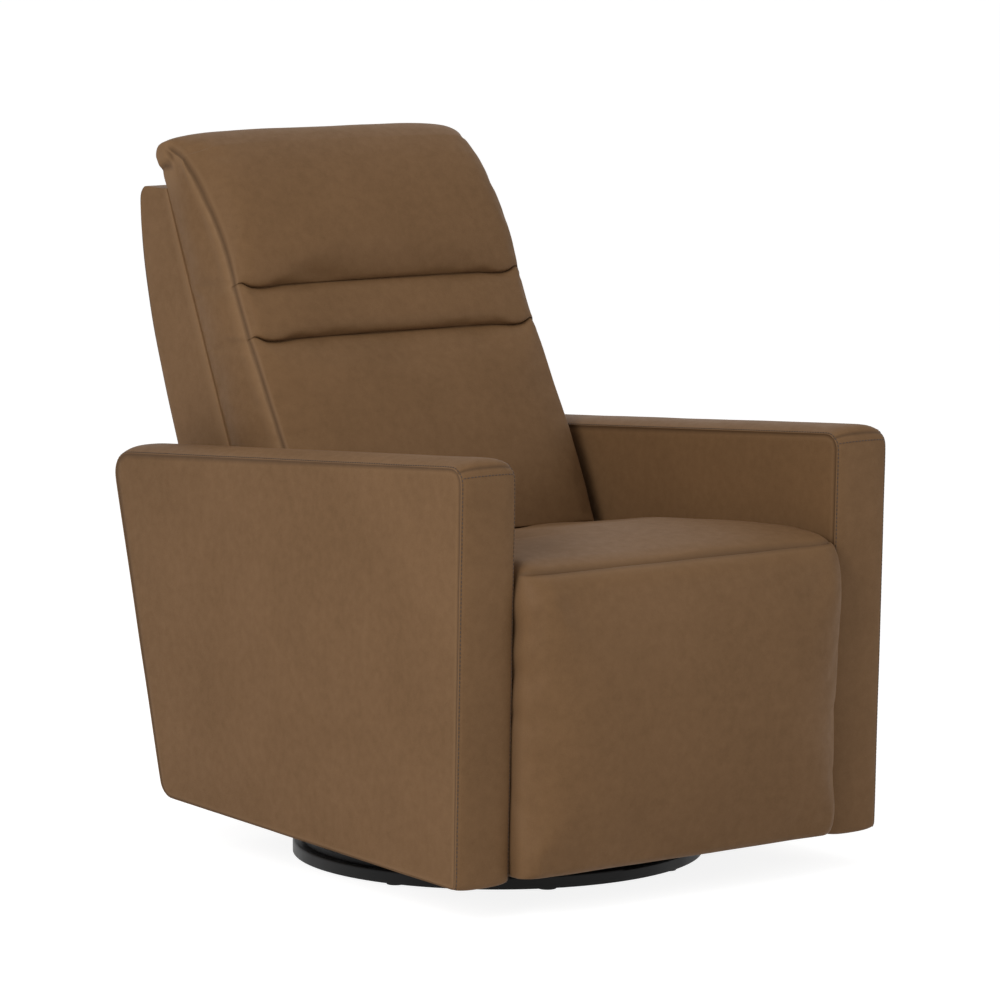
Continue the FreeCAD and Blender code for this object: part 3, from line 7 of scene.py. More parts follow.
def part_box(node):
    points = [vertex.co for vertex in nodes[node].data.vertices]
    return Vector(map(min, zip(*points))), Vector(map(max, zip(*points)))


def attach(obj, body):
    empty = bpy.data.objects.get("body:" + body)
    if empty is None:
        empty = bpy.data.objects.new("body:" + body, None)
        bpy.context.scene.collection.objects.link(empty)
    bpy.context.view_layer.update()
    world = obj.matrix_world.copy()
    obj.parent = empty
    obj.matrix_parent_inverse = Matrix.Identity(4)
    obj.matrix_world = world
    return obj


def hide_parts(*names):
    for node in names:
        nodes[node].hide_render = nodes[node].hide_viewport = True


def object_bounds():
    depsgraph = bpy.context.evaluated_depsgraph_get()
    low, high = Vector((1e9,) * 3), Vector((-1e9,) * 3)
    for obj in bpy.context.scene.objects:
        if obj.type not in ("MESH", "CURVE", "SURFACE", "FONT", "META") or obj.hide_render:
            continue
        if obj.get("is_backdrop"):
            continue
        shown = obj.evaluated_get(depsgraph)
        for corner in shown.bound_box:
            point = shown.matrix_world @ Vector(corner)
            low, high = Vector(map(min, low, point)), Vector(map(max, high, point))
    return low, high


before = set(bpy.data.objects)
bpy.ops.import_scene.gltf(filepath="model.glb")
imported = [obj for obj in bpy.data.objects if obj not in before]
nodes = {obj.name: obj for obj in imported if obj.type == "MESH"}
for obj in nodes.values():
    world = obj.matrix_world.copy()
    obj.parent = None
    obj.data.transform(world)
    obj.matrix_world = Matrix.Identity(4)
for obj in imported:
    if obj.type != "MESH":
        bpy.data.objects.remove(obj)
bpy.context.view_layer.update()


# Base: a rolled steel ring with two flat bars welded across it, powder coated a satin black. It stands on
# rubber feet, and is the only metal that shows below the upholstery.
def add_node(tree, kind, inputs=None, **settings):
    """A shader node with its settings, and its inputs set to values or joined to other nodes."""
    node = tree.nodes.new("ShaderNode" + kind)
    for name, value in settings.items():
        setattr(node, name, value)
    for socket, value in (inputs or {}).items():
        if isinstance(value, bpy.types.NodeSocket):
            tree.links.new(value, node.inputs[socket])
        else:
            node.inputs[socket].default_value = value
    return node


# What a finish gives a surface, and how deep its grain is.
FINISH = {"Color": "Color", "Roughness": "Float", "Height": "Float"}
GRAIN_DEPTH = 0.0005


def new_group(name, inputs):
    """An empty node group for a finish, and its two ends."""
    group = bpy.data.node_groups.new(name, "ShaderNodeTree")
    for sockets, way in ((inputs, "INPUT"), (FINISH, "OUTPUT")):
        for socket, kind in sockets.items():
            group.interface.new_socket(socket, in_out=way, socket_type="NodeSocket" + kind)
    return group, group.nodes.new("NodeGroupInput").outputs, group.nodes.new("NodeGroupOutput").inputs


def close_group(group, result, *values):
    """Join what a group makes to its end, in the order of a finish."""
    for socket, value in zip(FINISH, values):
        group.links.new(value, result[socket])
    return group


def remap(tree, value, low=0.0, high=1.0, to_low=0.0, to_high=1.0):
    """A value carried from one range to another."""
    return add_node(tree, "MapRange", dict(enumerate((value, low, high, to_low, to_high)))).outputs[0]


def mix_tones(tree, share, first, second):
    """A colour between two others."""
    ends = {0: share, 6: first, 7: second}
    return add_node(tree, "Mix", ends, data_type="RGBA", clamp_factor=True).outputs[2]


def new_material(name):
    """A material with its node tree and its surface shader."""
    material = bpy.data.materials.new(name)
    material.use_nodes = True
    return material, material.node_tree, material.node_tree.nodes["Principled BSDF"]


def object_place(tree):
    """A place in the piece's own frame."""
    return add_node(tree, "TexCoord").outputs["Object"]


def dress(tree, shader, finish, strength, depth=GRAIN_DEPTH):
    """Give a surface its finish, with the height as relief."""
    relief = add_node(tree, "Bump", {"Strength": strength, "Distance": depth, "Height": finish["Height"]})
    tree.links.new(finish["Color"], shader.inputs["Base Color"])
    tree.links.new(finish["Roughness"], shader.inputs["Roughness"])
    tree.links.new(relief.outputs[0], shader.inputs["Normal"])


def handled_finish():
    """A finish that has been handled: soft patches of a second tone, a fine grain and uneven gloss."""
    sockets = {"Place": "Vector", "Tone": "Color", "Worn": "Color", "Patches": "Float", "Grain": "Float"}
    sockets |= {"Smooth": "Float", "Rough": "Float"}
    group, given, result = new_group("handled_finish", sockets)
    patches = {"Vector": given["Place"], "Scale": given["Patches"], "Detail": 5.0, "Roughness": 0.62}
    spread = remap(group, add_node(group, "TexNoise", patches).outputs[0], 0.36, 0.68)
    tone = mix_tones(group, spread, given["Tone"], given["Worn"])
    gloss = add_node(group, "Mix", {0: spread, 2: given["Smooth"], 3: given["Rough"]})
    grain = {"Vector": given["Place"], "Scale": given["Grain"], "Detail": 3.0}
    fine = add_node(group, "TexNoise", grain)
    return close_group(group, result, tone, gloss.outputs[0], fine.outputs[0])


HANDLED = handled_finish()


def plain_material(name, tone, worn, patches, grain, gloss, metallic=0.0, bump=0.1, shine=0.5):
    """A material of one substance with the handled finish over it."""
    material, tree, shader = new_material(name)
    given = {"Place": object_place(tree), "Tone": (*tone, 1), "Worn": (*worn, 1)}
    given |= {"Patches": patches, "Grain": grain, "Smooth": gloss[0], "Rough": gloss[1]}
    finish = add_node(tree, "Group", given, node_tree=HANDLED)
    dress(tree, shader, finish.outputs, bump)
    shader.inputs["Metallic"].default_value = metallic
    shader.inputs["Specular IOR Level"].default_value = shine
    return material


def coat(material, *names):
    """Give CAD nodes their finish."""
    for name in names:
        nodes[name].data.materials.clear()
        nodes[name].data.materials.append(material)


BLACK_COAT = plain_material("black_powder_coat", (0.004, 0.004, 0.004), (0.009, 0.008, 0.008),
                            patches=9, grain=900, gloss=(0.42, 0.56), shine=0.2)
RUBBER = plain_material("black_rubber_foot", (0.012, 0.012, 0.012), (0.03, 0.03, 0.029),
                        patches=30, grain=1200, gloss=(0.75, 0.9))
coat(BLACK_COAT, "base_ring", "base_cross")
coat(RUBBER, "base_feet")


# Swivel and glide: a zinc-plated ball race between two plates, and black stands with four hanging links
# that let the carriage swing to and fro. Pins, bolt and nut are bright zinc.
ZINC = plain_material("zinc_plate", (0.50, 0.51, 0.50), (0.36, 0.37, 0.36),
                      patches=22, grain=1500, gloss=(0.3, 0.48), metallic=1.0, bump=0.05)
coat(ZINC, "swivel_lower_plate", "swivel_balls", "swivel_upper_plate", "swivel_bolt", "swivel_nut")
coat(ZINC, "glide_upper_pins", "glide_lower_pins")
coat(BLACK_COAT, "stand_beams", "glide_stand_left", "glide_stand_right", "glide_rail_left", "glide_rail_right")
coat(BLACK_COAT, "cross_tube_front", "cross_tube_rear")
for end in ("front", "rear"):
    coat(ZINC, f"glide_link_{end}_left", f"glide_link_{end}_right")


# Mechanism: pressed steel plates bolted to the arms, with the footrest's links, rivets, rollers and torque
# tube. The links are zinc plated, the plates and angles coated black.
coat(BLACK_COAT, "mechanism_plate_left", "mechanism_plate_right", "seat_angle_left", "seat_angle_right")
coat(BLACK_COAT, "torque_tube", "footrest_bracket_left", "footrest_bracket_right")
coat(ZINC, "mechanism_bolts", "back_pivot_pins", "drive_pivot_pins", "release_stud")
coat(ZINC, "drive_link_rivets", "cross_link_rollers", "footrest_rivets")
for side in ("left", "right"):
    coat(ZINC, f"drive_link_{side}", f"cross_link_{side}", f"extension_link_{side}")
    coat(BLACK_COAT, f"back_ear_{side}")


# Frames: softwood rails and posts under the covers, and sinuous springs of tempered wire across the seat
# and the back. The footrest's board is plywood.
def wood_material():
    """Sawn softwood: long grain lines, darker late wood and a dry surface."""
    material, tree, shader = new_material("sawn_softwood")
    drawn = add_node(tree, "Mapping", {"Vector": object_place(tree), "Scale": (40, 3, 26)}).outputs[0]
    rings = add_node(tree, "TexNoise", {"Vector": drawn, "Scale": 1.6, "Detail": 6.0}).outputs[0]
    fibre = add_node(tree, "TexNoise", {"Vector": drawn, "Scale": 14.0, "Detail": 3.0}).outputs[0]
    tone = add_node(tree, "ValToRGB", {0: rings})
    late, early = tone.color_ramp.elements
    late.position, early.position = 0.38, 0.66
    late.color, early.color = (0.30, 0.19, 0.09, 1), (0.52, 0.37, 0.20, 1)
    dry = remap(tree, fibre, to_low=0.62, to_high=0.85)
    dress(tree, shader, {"Color": tone.outputs[0], "Roughness": dry, "Height": fibre}, 0.2, depth=0.0006)
    return material


WOOD = wood_material()
WIRE = plain_material("spring_wire", (0.10, 0.10, 0.105), (0.20, 0.19, 0.18),
                      patches=60, grain=2000, gloss=(0.32, 0.5), metallic=1.0, bump=0.05)
coat(WOOD, "arm_frame_left", "arm_frame_right", "seat_frame", "back_frame", "footrest_board")
coat(WIRE, "seat_springs", "back_springs")


# Arms: flat side panels and one band of leather round the edge, over foam and a wooden frame. The panels are
# sewn to the band with a topstitched seam, and a cross seam joins the band's top to its front.
# Leather tones: its own tone, a deeper dye, and the paler tone along the seams, which is partly rubbed wear and
# partly painted highlight.
LEATHER_TONES = {
    "Tone": (0.190, 0.103, 0.046, 1),
    "Deep": (0.128, 0.068, 0.029, 1),
    "Pale": (0.250, 0.145, 0.072, 1),
}
# Painted shade for seams, stitch rows and channel creases: its dark tone, and how much of it is laid on at most.
PAINTED_SHADE_TONE, PAINTED_SHADE_STRENGTH = (0.022, 0.011, 0.006, 1), 0.65


def leather_hide():
    """The hide's own pattern: broad tone, cloudy dye, and a pebbled grain with creases between the pebbles. Over it
    go a paler rub along the seams, partly wear and partly painted highlight, and painted shade in the seams and
    creases.
    """
    sockets = {"Place": "Vector", "Tone": "Color", "Deep": "Color", "Pale": "Color"}
    sockets |= {"Wear_and_highlight": "Float", "Painted_shade": "Float"}
    group, given, result = new_group("leather_hide", sockets)

    def clouds(scale, detail, **more):
        """Noise over the hide."""
        look = {"Vector": given["Place"], "Scale": scale, "Detail": detail, **more}
        return add_node(group, "TexNoise", look).outputs

    def reckon(operation, *values):
        """The result of a sum on values."""
        return add_node(group, "Math", dict(enumerate(values)), operation=operation).outputs[0]

    broad = clouds(5.0, 2.0)[0]
    cloud = clouds(70.0, 5.0, Roughness=0.6)[0]
    warp = {0: clouds(260.0, 1.0)["Color"], 1: (0.0012, 0.0012, 0.0012)}
    bent = add_node(group, "VectorMath", warp, operation="MULTIPLY").outputs[0]
    moved = add_node(group, "VectorMath", {0: given["Place"], 1: bent}, operation="ADD").outputs[0]
    cells = {"Vector": moved, "Scale": 620.0, "Randomness": 1.0}
    pebble = add_node(group, "TexVoronoi", cells, feature="SMOOTH_F1").outputs["Distance"]
    crease = add_node(group, "TexVoronoi", cells, feature="DISTANCE_TO_EDGE").outputs["Distance"]
    pores = clouds(2600.0, 2.0)[0]
    valley = remap(group, crease, 0.0, 0.16, 1.0, 0.0)
    dye = remap(group, cloud, 0.3, 0.7, 0.0, 0.34)
    depth = remap(group, broad, 0.3, 0.7, 0.0, 0.3)
    lines = reckon("MULTIPLY_ADD", valley, 0.3, reckon("ADD", dye, depth))
    dyed = mix_tones(group, lines, given["Tone"], given["Deep"])
    # Paler along the seams, partly rubbed wear and partly painted highlight.
    worn = mix_tones(group, reckon("MULTIPLY", given["Wear_and_highlight"], cloud), dyed, given["Pale"])
    # Painted shade darkens the seams, stitch rows and channel creases.
    with_painted_shade = mix_tones(group, reckon("MULTIPLY", given["Painted_shade"], PAINTED_SHADE_STRENGTH), worn, PAINTED_SHADE_TONE)
    gloss = remap(group, lines, to_low=0.56, to_high=0.74)
    dome = reckon("MULTIPLY_ADD", pebble, -0.8, 0.8)
    relief = reckon("MULTIPLY_ADD", pores, 0.25, dome)
    return close_group(group, result, with_painted_shade, gloss, relief)


def leather_material():
    """Brown upholstery leather with a low sheen. Along the seams it is paler, partly rubbed and partly painted
    highlight, and in them it is darkened with painted shade.
    """
    material, tree, shader = new_material("brown_upholstery_leather")
    given = {"Place": object_place(tree), **LEATHER_TONES}
    for mark in ("Wear_and_highlight", "Painted_shade"):
        given[mark] = add_node(tree, "Attribute", attribute_name=mark.lower()).outputs["Fac"]
    hide = add_node(tree, "Group", given, node_tree=leather_hide())
    dress(tree, shader, hide.outputs, 0.22)
    shader.inputs["Specular IOR Level"].default_value = 0.16
    return material


LEATHER = leather_material()
# The thread is darker than the leather: partly its own tone, and partly painted shade of the stitch holes.
THREAD = plain_material("waxed_thread", (0.040, 0.020, 0.009), (0.07, 0.036, 0.016),
                        patches=300, grain=3000, gloss=(0.5, 0.7))


def sliced_block(name, *cuts):
    """A block from -1 to 1 each way, cut through at places along X, Y and Z."""
    bpy.ops.object.select_all(action="DESELECT")
    bpy.ops.mesh.primitive_cube_add(size=2)
    block = bpy.context.object
    block.name = block.data.name = name
    bpy.ops.object.mode_set(mode="EDIT")
    for normal, places in zip(Matrix.Identity(3), cuts):
        for place in places:
            bpy.ops.mesh.select_all(action="SELECT")
            bpy.ops.mesh.bisect(plane_co=normal * place, plane_no=normal)
    bpy.ops.object.mode_set(mode="OBJECT")
    return block


def spaced(low, high, count):
    """Places at even steps between two ends."""
    return [low + (high - low) * step / (count + 1) for step in range(1, count + 1)]


def mirrored(cuts, between=(0,)):
    """The same cuts on both sides of the middle, and those between them."""
    return sorted([-cut for cut in cuts] + list(between) + list(cuts))


def smooth(share):
    """An even rise from 0 to 1."""
    share = min(max(share, 0), 1)
    return share * share * (3 - 2 * share)


def form(block, where):
    """Move each point of a block to its place, and keep where it is painted paler along its seams, partly as rubbed
    wear and partly as painted highlight, and where it is darkened with painted shade.
    """
    points = block.data.vertices
    shaped = [where(*vertex.co) for vertex in points]
    wear_and_highlight = block.data.attributes.new("wear_and_highlight", "FLOAT", "POINT")
    painted_shade = block.data.attributes.new("painted_shade", "FLOAT", "POINT")
    points.foreach_set("co", [number for row in shaped for number in row[0]])
    wear_and_highlight.data.foreach_set("value", [row[1] for row in shaped])
    painted_shade.data.foreach_set("value", [row[2] for row in shaped])


def apply_modifiers(piece):
    """Apply what a piece is finished with."""
    bpy.ops.object.select_all(action="DESELECT")
    piece.select_set(True)
    bpy.context.view_layer.objects.active = piece
    for modifier in list(piece.modifiers):
        bpy.ops.object.modifier_apply(modifier=modifier.name)


def soften(piece, depth, size, levels=1):
    """Round a piece with a subdivision surface, and leave the hand's unevenness in its foam."""
    rounding = piece.modifiers.new("rounding", "SUBSURF")
    rounding.levels = rounding.render_levels = levels
    apply_modifiers(piece)
    bpy.ops.object.mode_set(mode="EDIT")
    bpy.ops.mesh.select_all(action="SELECT")
    bpy.ops.mesh.normals_make_consistent(inside=False)
    bpy.ops.object.mode_set(mode="OBJECT")
    normals = [vertex.normal.copy() for vertex in piece.data.vertices]
    for vertex, normal in zip(piece.data.vertices, normals):
        vertex.co += normal * depth * noise.noise(vertex.co / size)
    bpy.ops.object.shade_smooth()


def upholster(piece, body, node):
    """Leather over foam: its finish, what it stands for and what it moves with."""
    piece.data.materials.append(LEATHER)
    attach(piece, body)
    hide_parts(node)


STITCH, STITCH_PITCH, THREAD_THICK, THREAD_LIFT, THREAD_SIDES = 0.0038, 0.0058, 0.0016, 0.0003, 6


def sew(name, path, body, cover):
    """A row of stitches along a path on a finished cover: one stitch, repeated and laid along a guide."""
    bpy.context.view_layer.update()
    line = bpy.data.curves.new(name + "_guide", "CURVE")
    line.dimensions = "3D"
    run = line.splines.new("POLY")
    run.points.add(len(path) - 1)
    for point, place in zip(run.points, path):
        _, on_cover, facing, _ = cover.closest_point_on_mesh(Vector(place))
        point.co = (*(on_cover + facing * THREAD_LIFT), 1)
    guide = bpy.data.objects.new(name + "_guide", line)
    bpy.context.scene.collection.objects.link(guide)
    bpy.ops.object.select_all(action="DESELECT")
    bpy.ops.mesh.primitive_cylinder_add(vertices=THREAD_SIDES, radius=THREAD_THICK / 2, depth=STITCH)
    row = bpy.context.object
    row.name = row.data.name = name
    bpy.ops.object.mode_set(mode="EDIT")
    bpy.ops.mesh.select_all(action="SELECT")
    bpy.ops.mesh.bevel(offset=THREAD_THICK / 5, segments=1, affect="EDGES")
    bpy.ops.object.mode_set(mode="OBJECT")
    row.data.transform(Matrix.Translation((STITCH / 2, 0, 0)) @ Matrix.Rotation(math.pi / 2, 4, "Y"))
    repeat = row.modifiers.new("repeat", "ARRAY")
    repeat.fit_type = "FIT_CURVE"
    repeat.curve = guide
    repeat.use_relative_offset = False
    repeat.use_constant_offset = True
    repeat.constant_offset_displace = (STITCH_PITCH, 0, 0)
    lay = row.modifiers.new("lay", "CURVE")
    lay.object = guide
    apply_modifiers(row)
    bpy.data.objects.remove(guide)
    row.data.materials.append(THREAD)
    bpy.ops.object.shade_smooth()
    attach(row, body)


# A place in a block past ON_FACE is on the block's face, and one within ON_CUT of a cut is on it.
ON_FACE, ON_CUT = 0.99, 0.01
# The share of the panel inside its rounded rim, and the cuts through the rim.
ARM_CORE, RIM_CUTS = 0.92, (0, 0.25, 0.5, 0.75)
# Corners of the side panel by front or rear and foot or top: Y, Z, radius, and how square the corner is.
ARM_CORNERS = {
    (-1, -1): (-0.446, 0.052, 0.012, 4.0),
    (1, -1): (0.288, 0.074, 0.022, 2.0),
    (1, 1): (0.420, 0.580, 0.042, 2.0),
    (-1, 1): (-0.463, 0.643, 0.026, 2.0),
}
# The arm across from its middle: share of the half thickness in the block, X, and how full the band's crown is.
ARM_SECTION = (
    (0.00, 0.0000, 1.00), (0.25, 0.0155, 0.95), (0.42, 0.0258, 0.83), (0.57, 0.0340, 0.62), (0.69, 0.0396, 0.41),
    (0.78, 0.0430, 0.25), (0.84, 0.0443, 0.17), (0.90, 0.0458, 0.10), (0.96, 0.0463, 0.03), (1.00, 0.0449, 0.00),
)
# How far the panel rises past its seam and over what width, how far its middle puffs, and how deep the seams are.
ARM_RISE, RISE_WIDTH, ARM_PUFF, CROSS_SEAM, SEAM_INSET = 0.0012, 0.004, 0.0008, 0.0018, 0.0024
# Where the stitches run and how deep they pull, the cross seam's end, and its stitches' place in the front's rim.
STITCH_LINE, STITCH_SINK, CROSS_END, CROSS_STITCH = 0.84, 0.0009, 0.97, 0.38
# The marks of an arm's seams: the band's width, how dark each line's painted shade is, how far it reaches, and where
# the strip beside it runs that is painted paler, partly as rubbed wear and partly as painted highlight.
BAND_WIDTH, SEAM_DARK, CROSS_DARK, STITCH_DARK = 0.03, 0.8, 0.7, 0.4
DARK_REACH, WEAR_HIGHLIGHT_FROM, WEAR_HIGHLIGHT_TO = 0.0022, 0.002, 0.009
# How far the band's crown stands over its seams at the front, rear, foot and top, and how gently it falls to them.
ARM_CROWNS = {
    ("end", -1): (0.005, 0.4),
    ("end", 1): (0.005, 0.4),
    ("edge", -1): (0.001, 1.0),
    ("edge", 1): (0.009, 1.0),
}


def traced(line, place):
    """What a line of measured points holds at a place along it."""
    for (low, *start), (high, *end) in zip(line, line[1:]):
        if place <= high:
            part = max((place - low) / (high - low), 0)
            return [first + (last - first) * part for first, last in zip(start, end)]
    return line[-1][1:]


def arm_side_normal(start, end):
    """The outward normal of the panel's edge between two corners, met with the panel on the left."""
    along = Vector((end[0] - start[0], end[1] - start[1])).normalized()
    return Vector((along.y, -along.x))


ARM_NORMALS = {
    ("end", -1): arm_side_normal(ARM_CORNERS[-1, 1], ARM_CORNERS[-1, -1]),
    ("end", 1): arm_side_normal(ARM_CORNERS[1, -1], ARM_CORNERS[1, 1]),
    ("edge", -1): arm_side_normal(ARM_CORNERS[-1, -1], ARM_CORNERS[1, -1]),
    ("edge", 1): arm_side_normal(ARM_CORNERS[1, 1], ARM_CORNERS[-1, 1]),
}


def arm_slant(end, edge):
    """Turns distances from the two edges at a corner into a step in Y and Z."""
    return Matrix((ARM_NORMALS["end", end], ARM_NORMALS["edge", edge])).inverted()


def arm_core(end, edge):
    """The middle of a corner's rounding."""
    y, z, radius, _ = ARM_CORNERS[end, edge]
    return Vector((y, z)) - arm_slant(end, edge) @ Vector((radius, radius))


def mixed(values, along, up):
    """A value at a place between four corners."""
    low = values[-1, -1] * (1 - along) / 2 + values[1, -1] * (1 + along) / 2
    high = values[-1, 1] * (1 - along) / 2 + values[1, 1] * (1 + along) / 2
    return low * (1 - up) / 2 + high * (1 + up) / 2


ARM_CORES = {key: arm_core(*key) for key in ARM_CORNERS}
ARM_ROUNDS = {key: corner[2] for key, corner in ARM_CORNERS.items()}


def beyond(share):
    """How far a place lies past the core, from 0 to 1."""
    return max(abs(share) - ARM_CORE, 0) / (1 - ARM_CORE)


def arm_panel(along, up, inset):
    """A place on the arm's outline in Y and Z, drawn in from the rim, and how far it is from the rim."""
    inner_along = min(max(along / ARM_CORE, -1), 1)
    inner_up = min(max(up / ARM_CORE, -1), 1)
    past_along, past_up = beyond(along), beyond(up)
    core = mixed(ARM_CORES, inner_along, inner_up)
    reach = mixed(ARM_ROUNDS, inner_along, inner_up) - inset
    end, edge = math.copysign(1, along), math.copysign(1, up)
    most = max(past_along, past_up)
    if past_along and past_up:
        power = ARM_CORNERS[end, edge][3]
        size = (past_along ** power + past_up ** power) ** (1 / power)
        step = arm_slant(end, edge) @ Vector((past_along, past_up)) * (most / size)
    elif past_along:
        step = ARM_NORMALS["end", end] * past_along
    else:
        step = ARM_NORMALS["edge", edge] * past_up
    return core + step * reach, (1 - most) * reach


def on_cross_seam(along, up):
    """Whether a place is on the seam across the band, at the front top corner."""
    return along < 0 < up and beyond(along) > 0 and abs(beyond(along) - beyond(up)) < ON_CUT


def band_crown(along, up):
    """How far the band's crown stands out at a place on the rim, and how gently it falls."""
    at_end = Vector(ARM_CROWNS["end", math.copysign(1, along)])
    at_edge = Vector(ARM_CROWNS["edge", math.copysign(1, up)])
    return at_end.lerp(at_edge, smooth(0.5 + (beyond(up) - beyond(along)) / 2))


def band_inset(share, along, up):
    """X from the arm's middle, and how far the rim is drawn in, at a share of the half thickness."""
    half, dome = traced(ARM_SECTION, share)
    crown, fall = band_crown(along, up)
    return half, SEAM_INSET - (SEAM_INSET + crown) * dome ** fall


def arm_place(middle):
    """How a block becomes an arm about its middle X."""

    def where(across, along, up):
        half, inset = band_inset(abs(across), along, up)
        crossing = on_cross_seam(along, up) and abs(across) < CROSS_END
        sunk = abs(abs(across) - STITCH_LINE) < ON_CUT
        inset += CROSS_SEAM * crossing + STITCH_SINK * sunk
        spot, from_rim = arm_panel(along, up, inset)
        on_panel = abs(across) > ON_FACE
        if on_panel:
            swell = ARM_PUFF * max(1 - along * along, 0) * max(1 - up * up, 0)
            half += ARM_RISE * smooth(from_rim / RISE_WIDTH) + swell
        from_seam = from_rim if on_panel else (1 - abs(across)) * BAND_WIDTH
        # Painted shade in the seams, the cross seam and the stitch groove; beside each seam a paler strip, partly
        # rubbed wear and partly painted highlight.
        dark = max(SEAM_DARK - from_seam / DARK_REACH, CROSS_DARK * crossing, STITCH_DARK * sunk)
        place = Vector((middle + math.copysign(half, across), *spot))
        return place, smooth(from_seam / WEAR_HIGHLIGHT_FROM) - smooth(from_seam / WEAR_HIGHLIGHT_TO), dark

    return where


def rim_path(middle, share):
    """A line along the arm's band from its rear foot over the top to its front foot."""
    rim = [(1, up) for up in spaced(-1, 1, 160)]
    rim += [(along, 1) for along in reversed(spaced(-1, 1, 220))]
    rim += [(-1, up) for up in reversed(spaced(-1, 1, 160))]
    path = []
    for along, up in rim:
        half, inset = band_inset(abs(share), along, up)
        path.append((middle + math.copysign(half, share), *arm_panel(along, up, inset)[0]))
    return path


def cross_path(middle):
    """A line across the band, in front of the cross seam at the front top corner."""
    near = ARM_CORE + CROSS_STITCH * (1 - ARM_CORE)
    path = []
    for share in spaced(-0.8, 0.8, 40):
        half, inset = band_inset(abs(share), -1, 1)
        path.append((middle + math.copysign(half, share), *arm_panel(-1, near, inset)[0]))
    return path


rim_cuts = [ARM_CORE + (1 - ARM_CORE) * step for step in RIM_CUTS]
long_cuts = mirrored(rim_cuts, spaced(-ARM_CORE, ARM_CORE, 26))
tall_cuts = mirrored(rim_cuts, spaced(-ARM_CORE, ARM_CORE, 18))
thin_cuts = mirrored([row[0] for row in ARM_SECTION[1:-1]])
for side in ("left", "right"):
    low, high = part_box(f"arm_cover_{side}")
    arm_middle = (low.x + high.x) / 2
    arm = sliced_block(f"arm_leather_{side}", thin_cuts, long_cuts, tall_cuts)
    form(arm, arm_place(arm_middle))
    soften(arm, depth=0.0006, size=0.09)
    upholster(arm, "carriage", f"arm_cover_{side}")
    for number, share in enumerate((-STITCH_LINE, STITCH_LINE)):
        sew(f"arm_stitch_{side}_{number}", rim_path(arm_middle, share), "carriage", arm)
    sew(f"arm_cross_stitch_{side}", cross_path(arm_middle), "carriage", arm)


# Seat: a foam cushion in a leather cover, boxed at its sides and crowned on top. Its front edge is sewn
# where the top meets the apron behind the footrest's panel.
SEAT_TILT = math.tan(math.radians(4.3))
SEAT_REAR, SEAT_FOOT, SEAT_HALF = 0.086, 0.392, 0.284
SEAT_NOSE, SEAT_APRON = -0.477, -0.452
# The rounding of the top's sides and how far they drop, less so behind, and how the front curves back at its corners.
SEAT_SHOULDER, SEAT_DROP, DROP_EASED, EASED_Y, EASED_LENGTH = 0.024, 0.022, 0.6, -0.2, 0.2
SEAT_CORNER, CORNER_BACK = 0.045, 0.024
# The front's slight wave, and the cover's length as it is measured from the front seam.
SEAT_WAVE, WAVE_PITCH, SEAT_LENGTH = 0.0015, 5, 0.27
# The height of the top along its middle, by Y.
SEAT_CROWN = (
    (-0.477, 0.487), (-0.468, 0.494), (-0.444, 0.501), (-0.395, 0.503), (-0.330, 0.499),
    (-0.270, 0.491), (-0.150, 0.473), (0.000, 0.450), (0.090, 0.440), (0.165, 0.426),
)
# The tongue that runs on under the back between the hinges, and the lip over the front rail: length, half width
# and the width of the step at the side. The tongue is thin: its foot rises, from a place along Y, over a length.
SEAT_TONGUE, TONGUE_HALF, TONGUE_STEP = 0.074, 0.236, 0.014
SEAT_LIP, LIP_HALF, LIP_STEP = 0.038, 0.232, 0.008
TONGUE_RISE, RISE_Y, RISE_LENGTH = 0.055, 0.075, 0.02
# The seat gives way to the release's grip at its right side: where it does along Y, how far, over what length it
# comes back, and by how much.
GRIP_Y, GRIP_REACH, GRIP_EASE, GRIP_ROOM = -0.12, 0.085, 0.04, 0.020


def rounded(past, width):
    """The drop of a rounded edge, from 0 to 1 across its width."""
    share = min(max(past / width, 0), 1)
    return 1 - math.sqrt(1 - share * share)


# How covers are filled: the air's pressure, how far leather may move from its pattern, and the steps it takes.
FILL_PRESSURE, FILL_MOST, FILL_STEPS = 4.0, 0.022, 20
# How firmly a seam holds the leather beside it, and how far from the seat's front seam.
SEAM_HOLD, SEAT_HELD = 0.9, 0.07


def fill_cover(cover, sewn, slack, room):
    """Fill a cover: the leather swells from its pattern between its seams, in the room between the arms."""
    before = [vertex.co.copy() for vertex in cover.data.vertices]
    held = cover.vertex_groups.new(name="sewn")
    for vertex in cover.data.vertices:
        held.add([vertex.index], sewn[vertex.index], "REPLACE")
    cloth = cover.modifiers.new("cover", "CLOTH")
    leather = cloth.settings
    leather.quality = 6
    leather.mass = 0.4
    leather.tension_stiffness = leather.compression_stiffness = 30
    leather.shear_stiffness = 12
    leather.bending_stiffness = 3
    leather.use_pressure = True
    leather.uniform_pressure_force = FILL_PRESSURE
    leather.shrink_min = -slack
    leather.vertex_group_mass = "sewn"
    leather.effector_weights.gravity = 0
    cloth.collision_settings.use_collision = False
    cloth.point_cache.frame_start, cloth.point_cache.frame_end = 1, FILL_STEPS
    for frame_number in range(1, FILL_STEPS + 1):
        bpy.context.scene.frame_set(frame_number)
    apply_modifiers(cover)
    bpy.context.scene.frame_set(1)
    for vertex, start in zip(cover.data.vertices, before):
        move = vertex.co - start
        reach = FILL_MOST * (1 - sewn[vertex.index])
        if move.length > reach:
            vertex.co = start + move * (reach / move.length)
        vertex.co.x = min(max(vertex.co.x, -room), room)


def by_grip(y):
    """How much a place along the seat's right side gives way to the grip."""
    return 1 - smooth((abs(y - GRIP_Y) - GRIP_REACH) / GRIP_EASE)


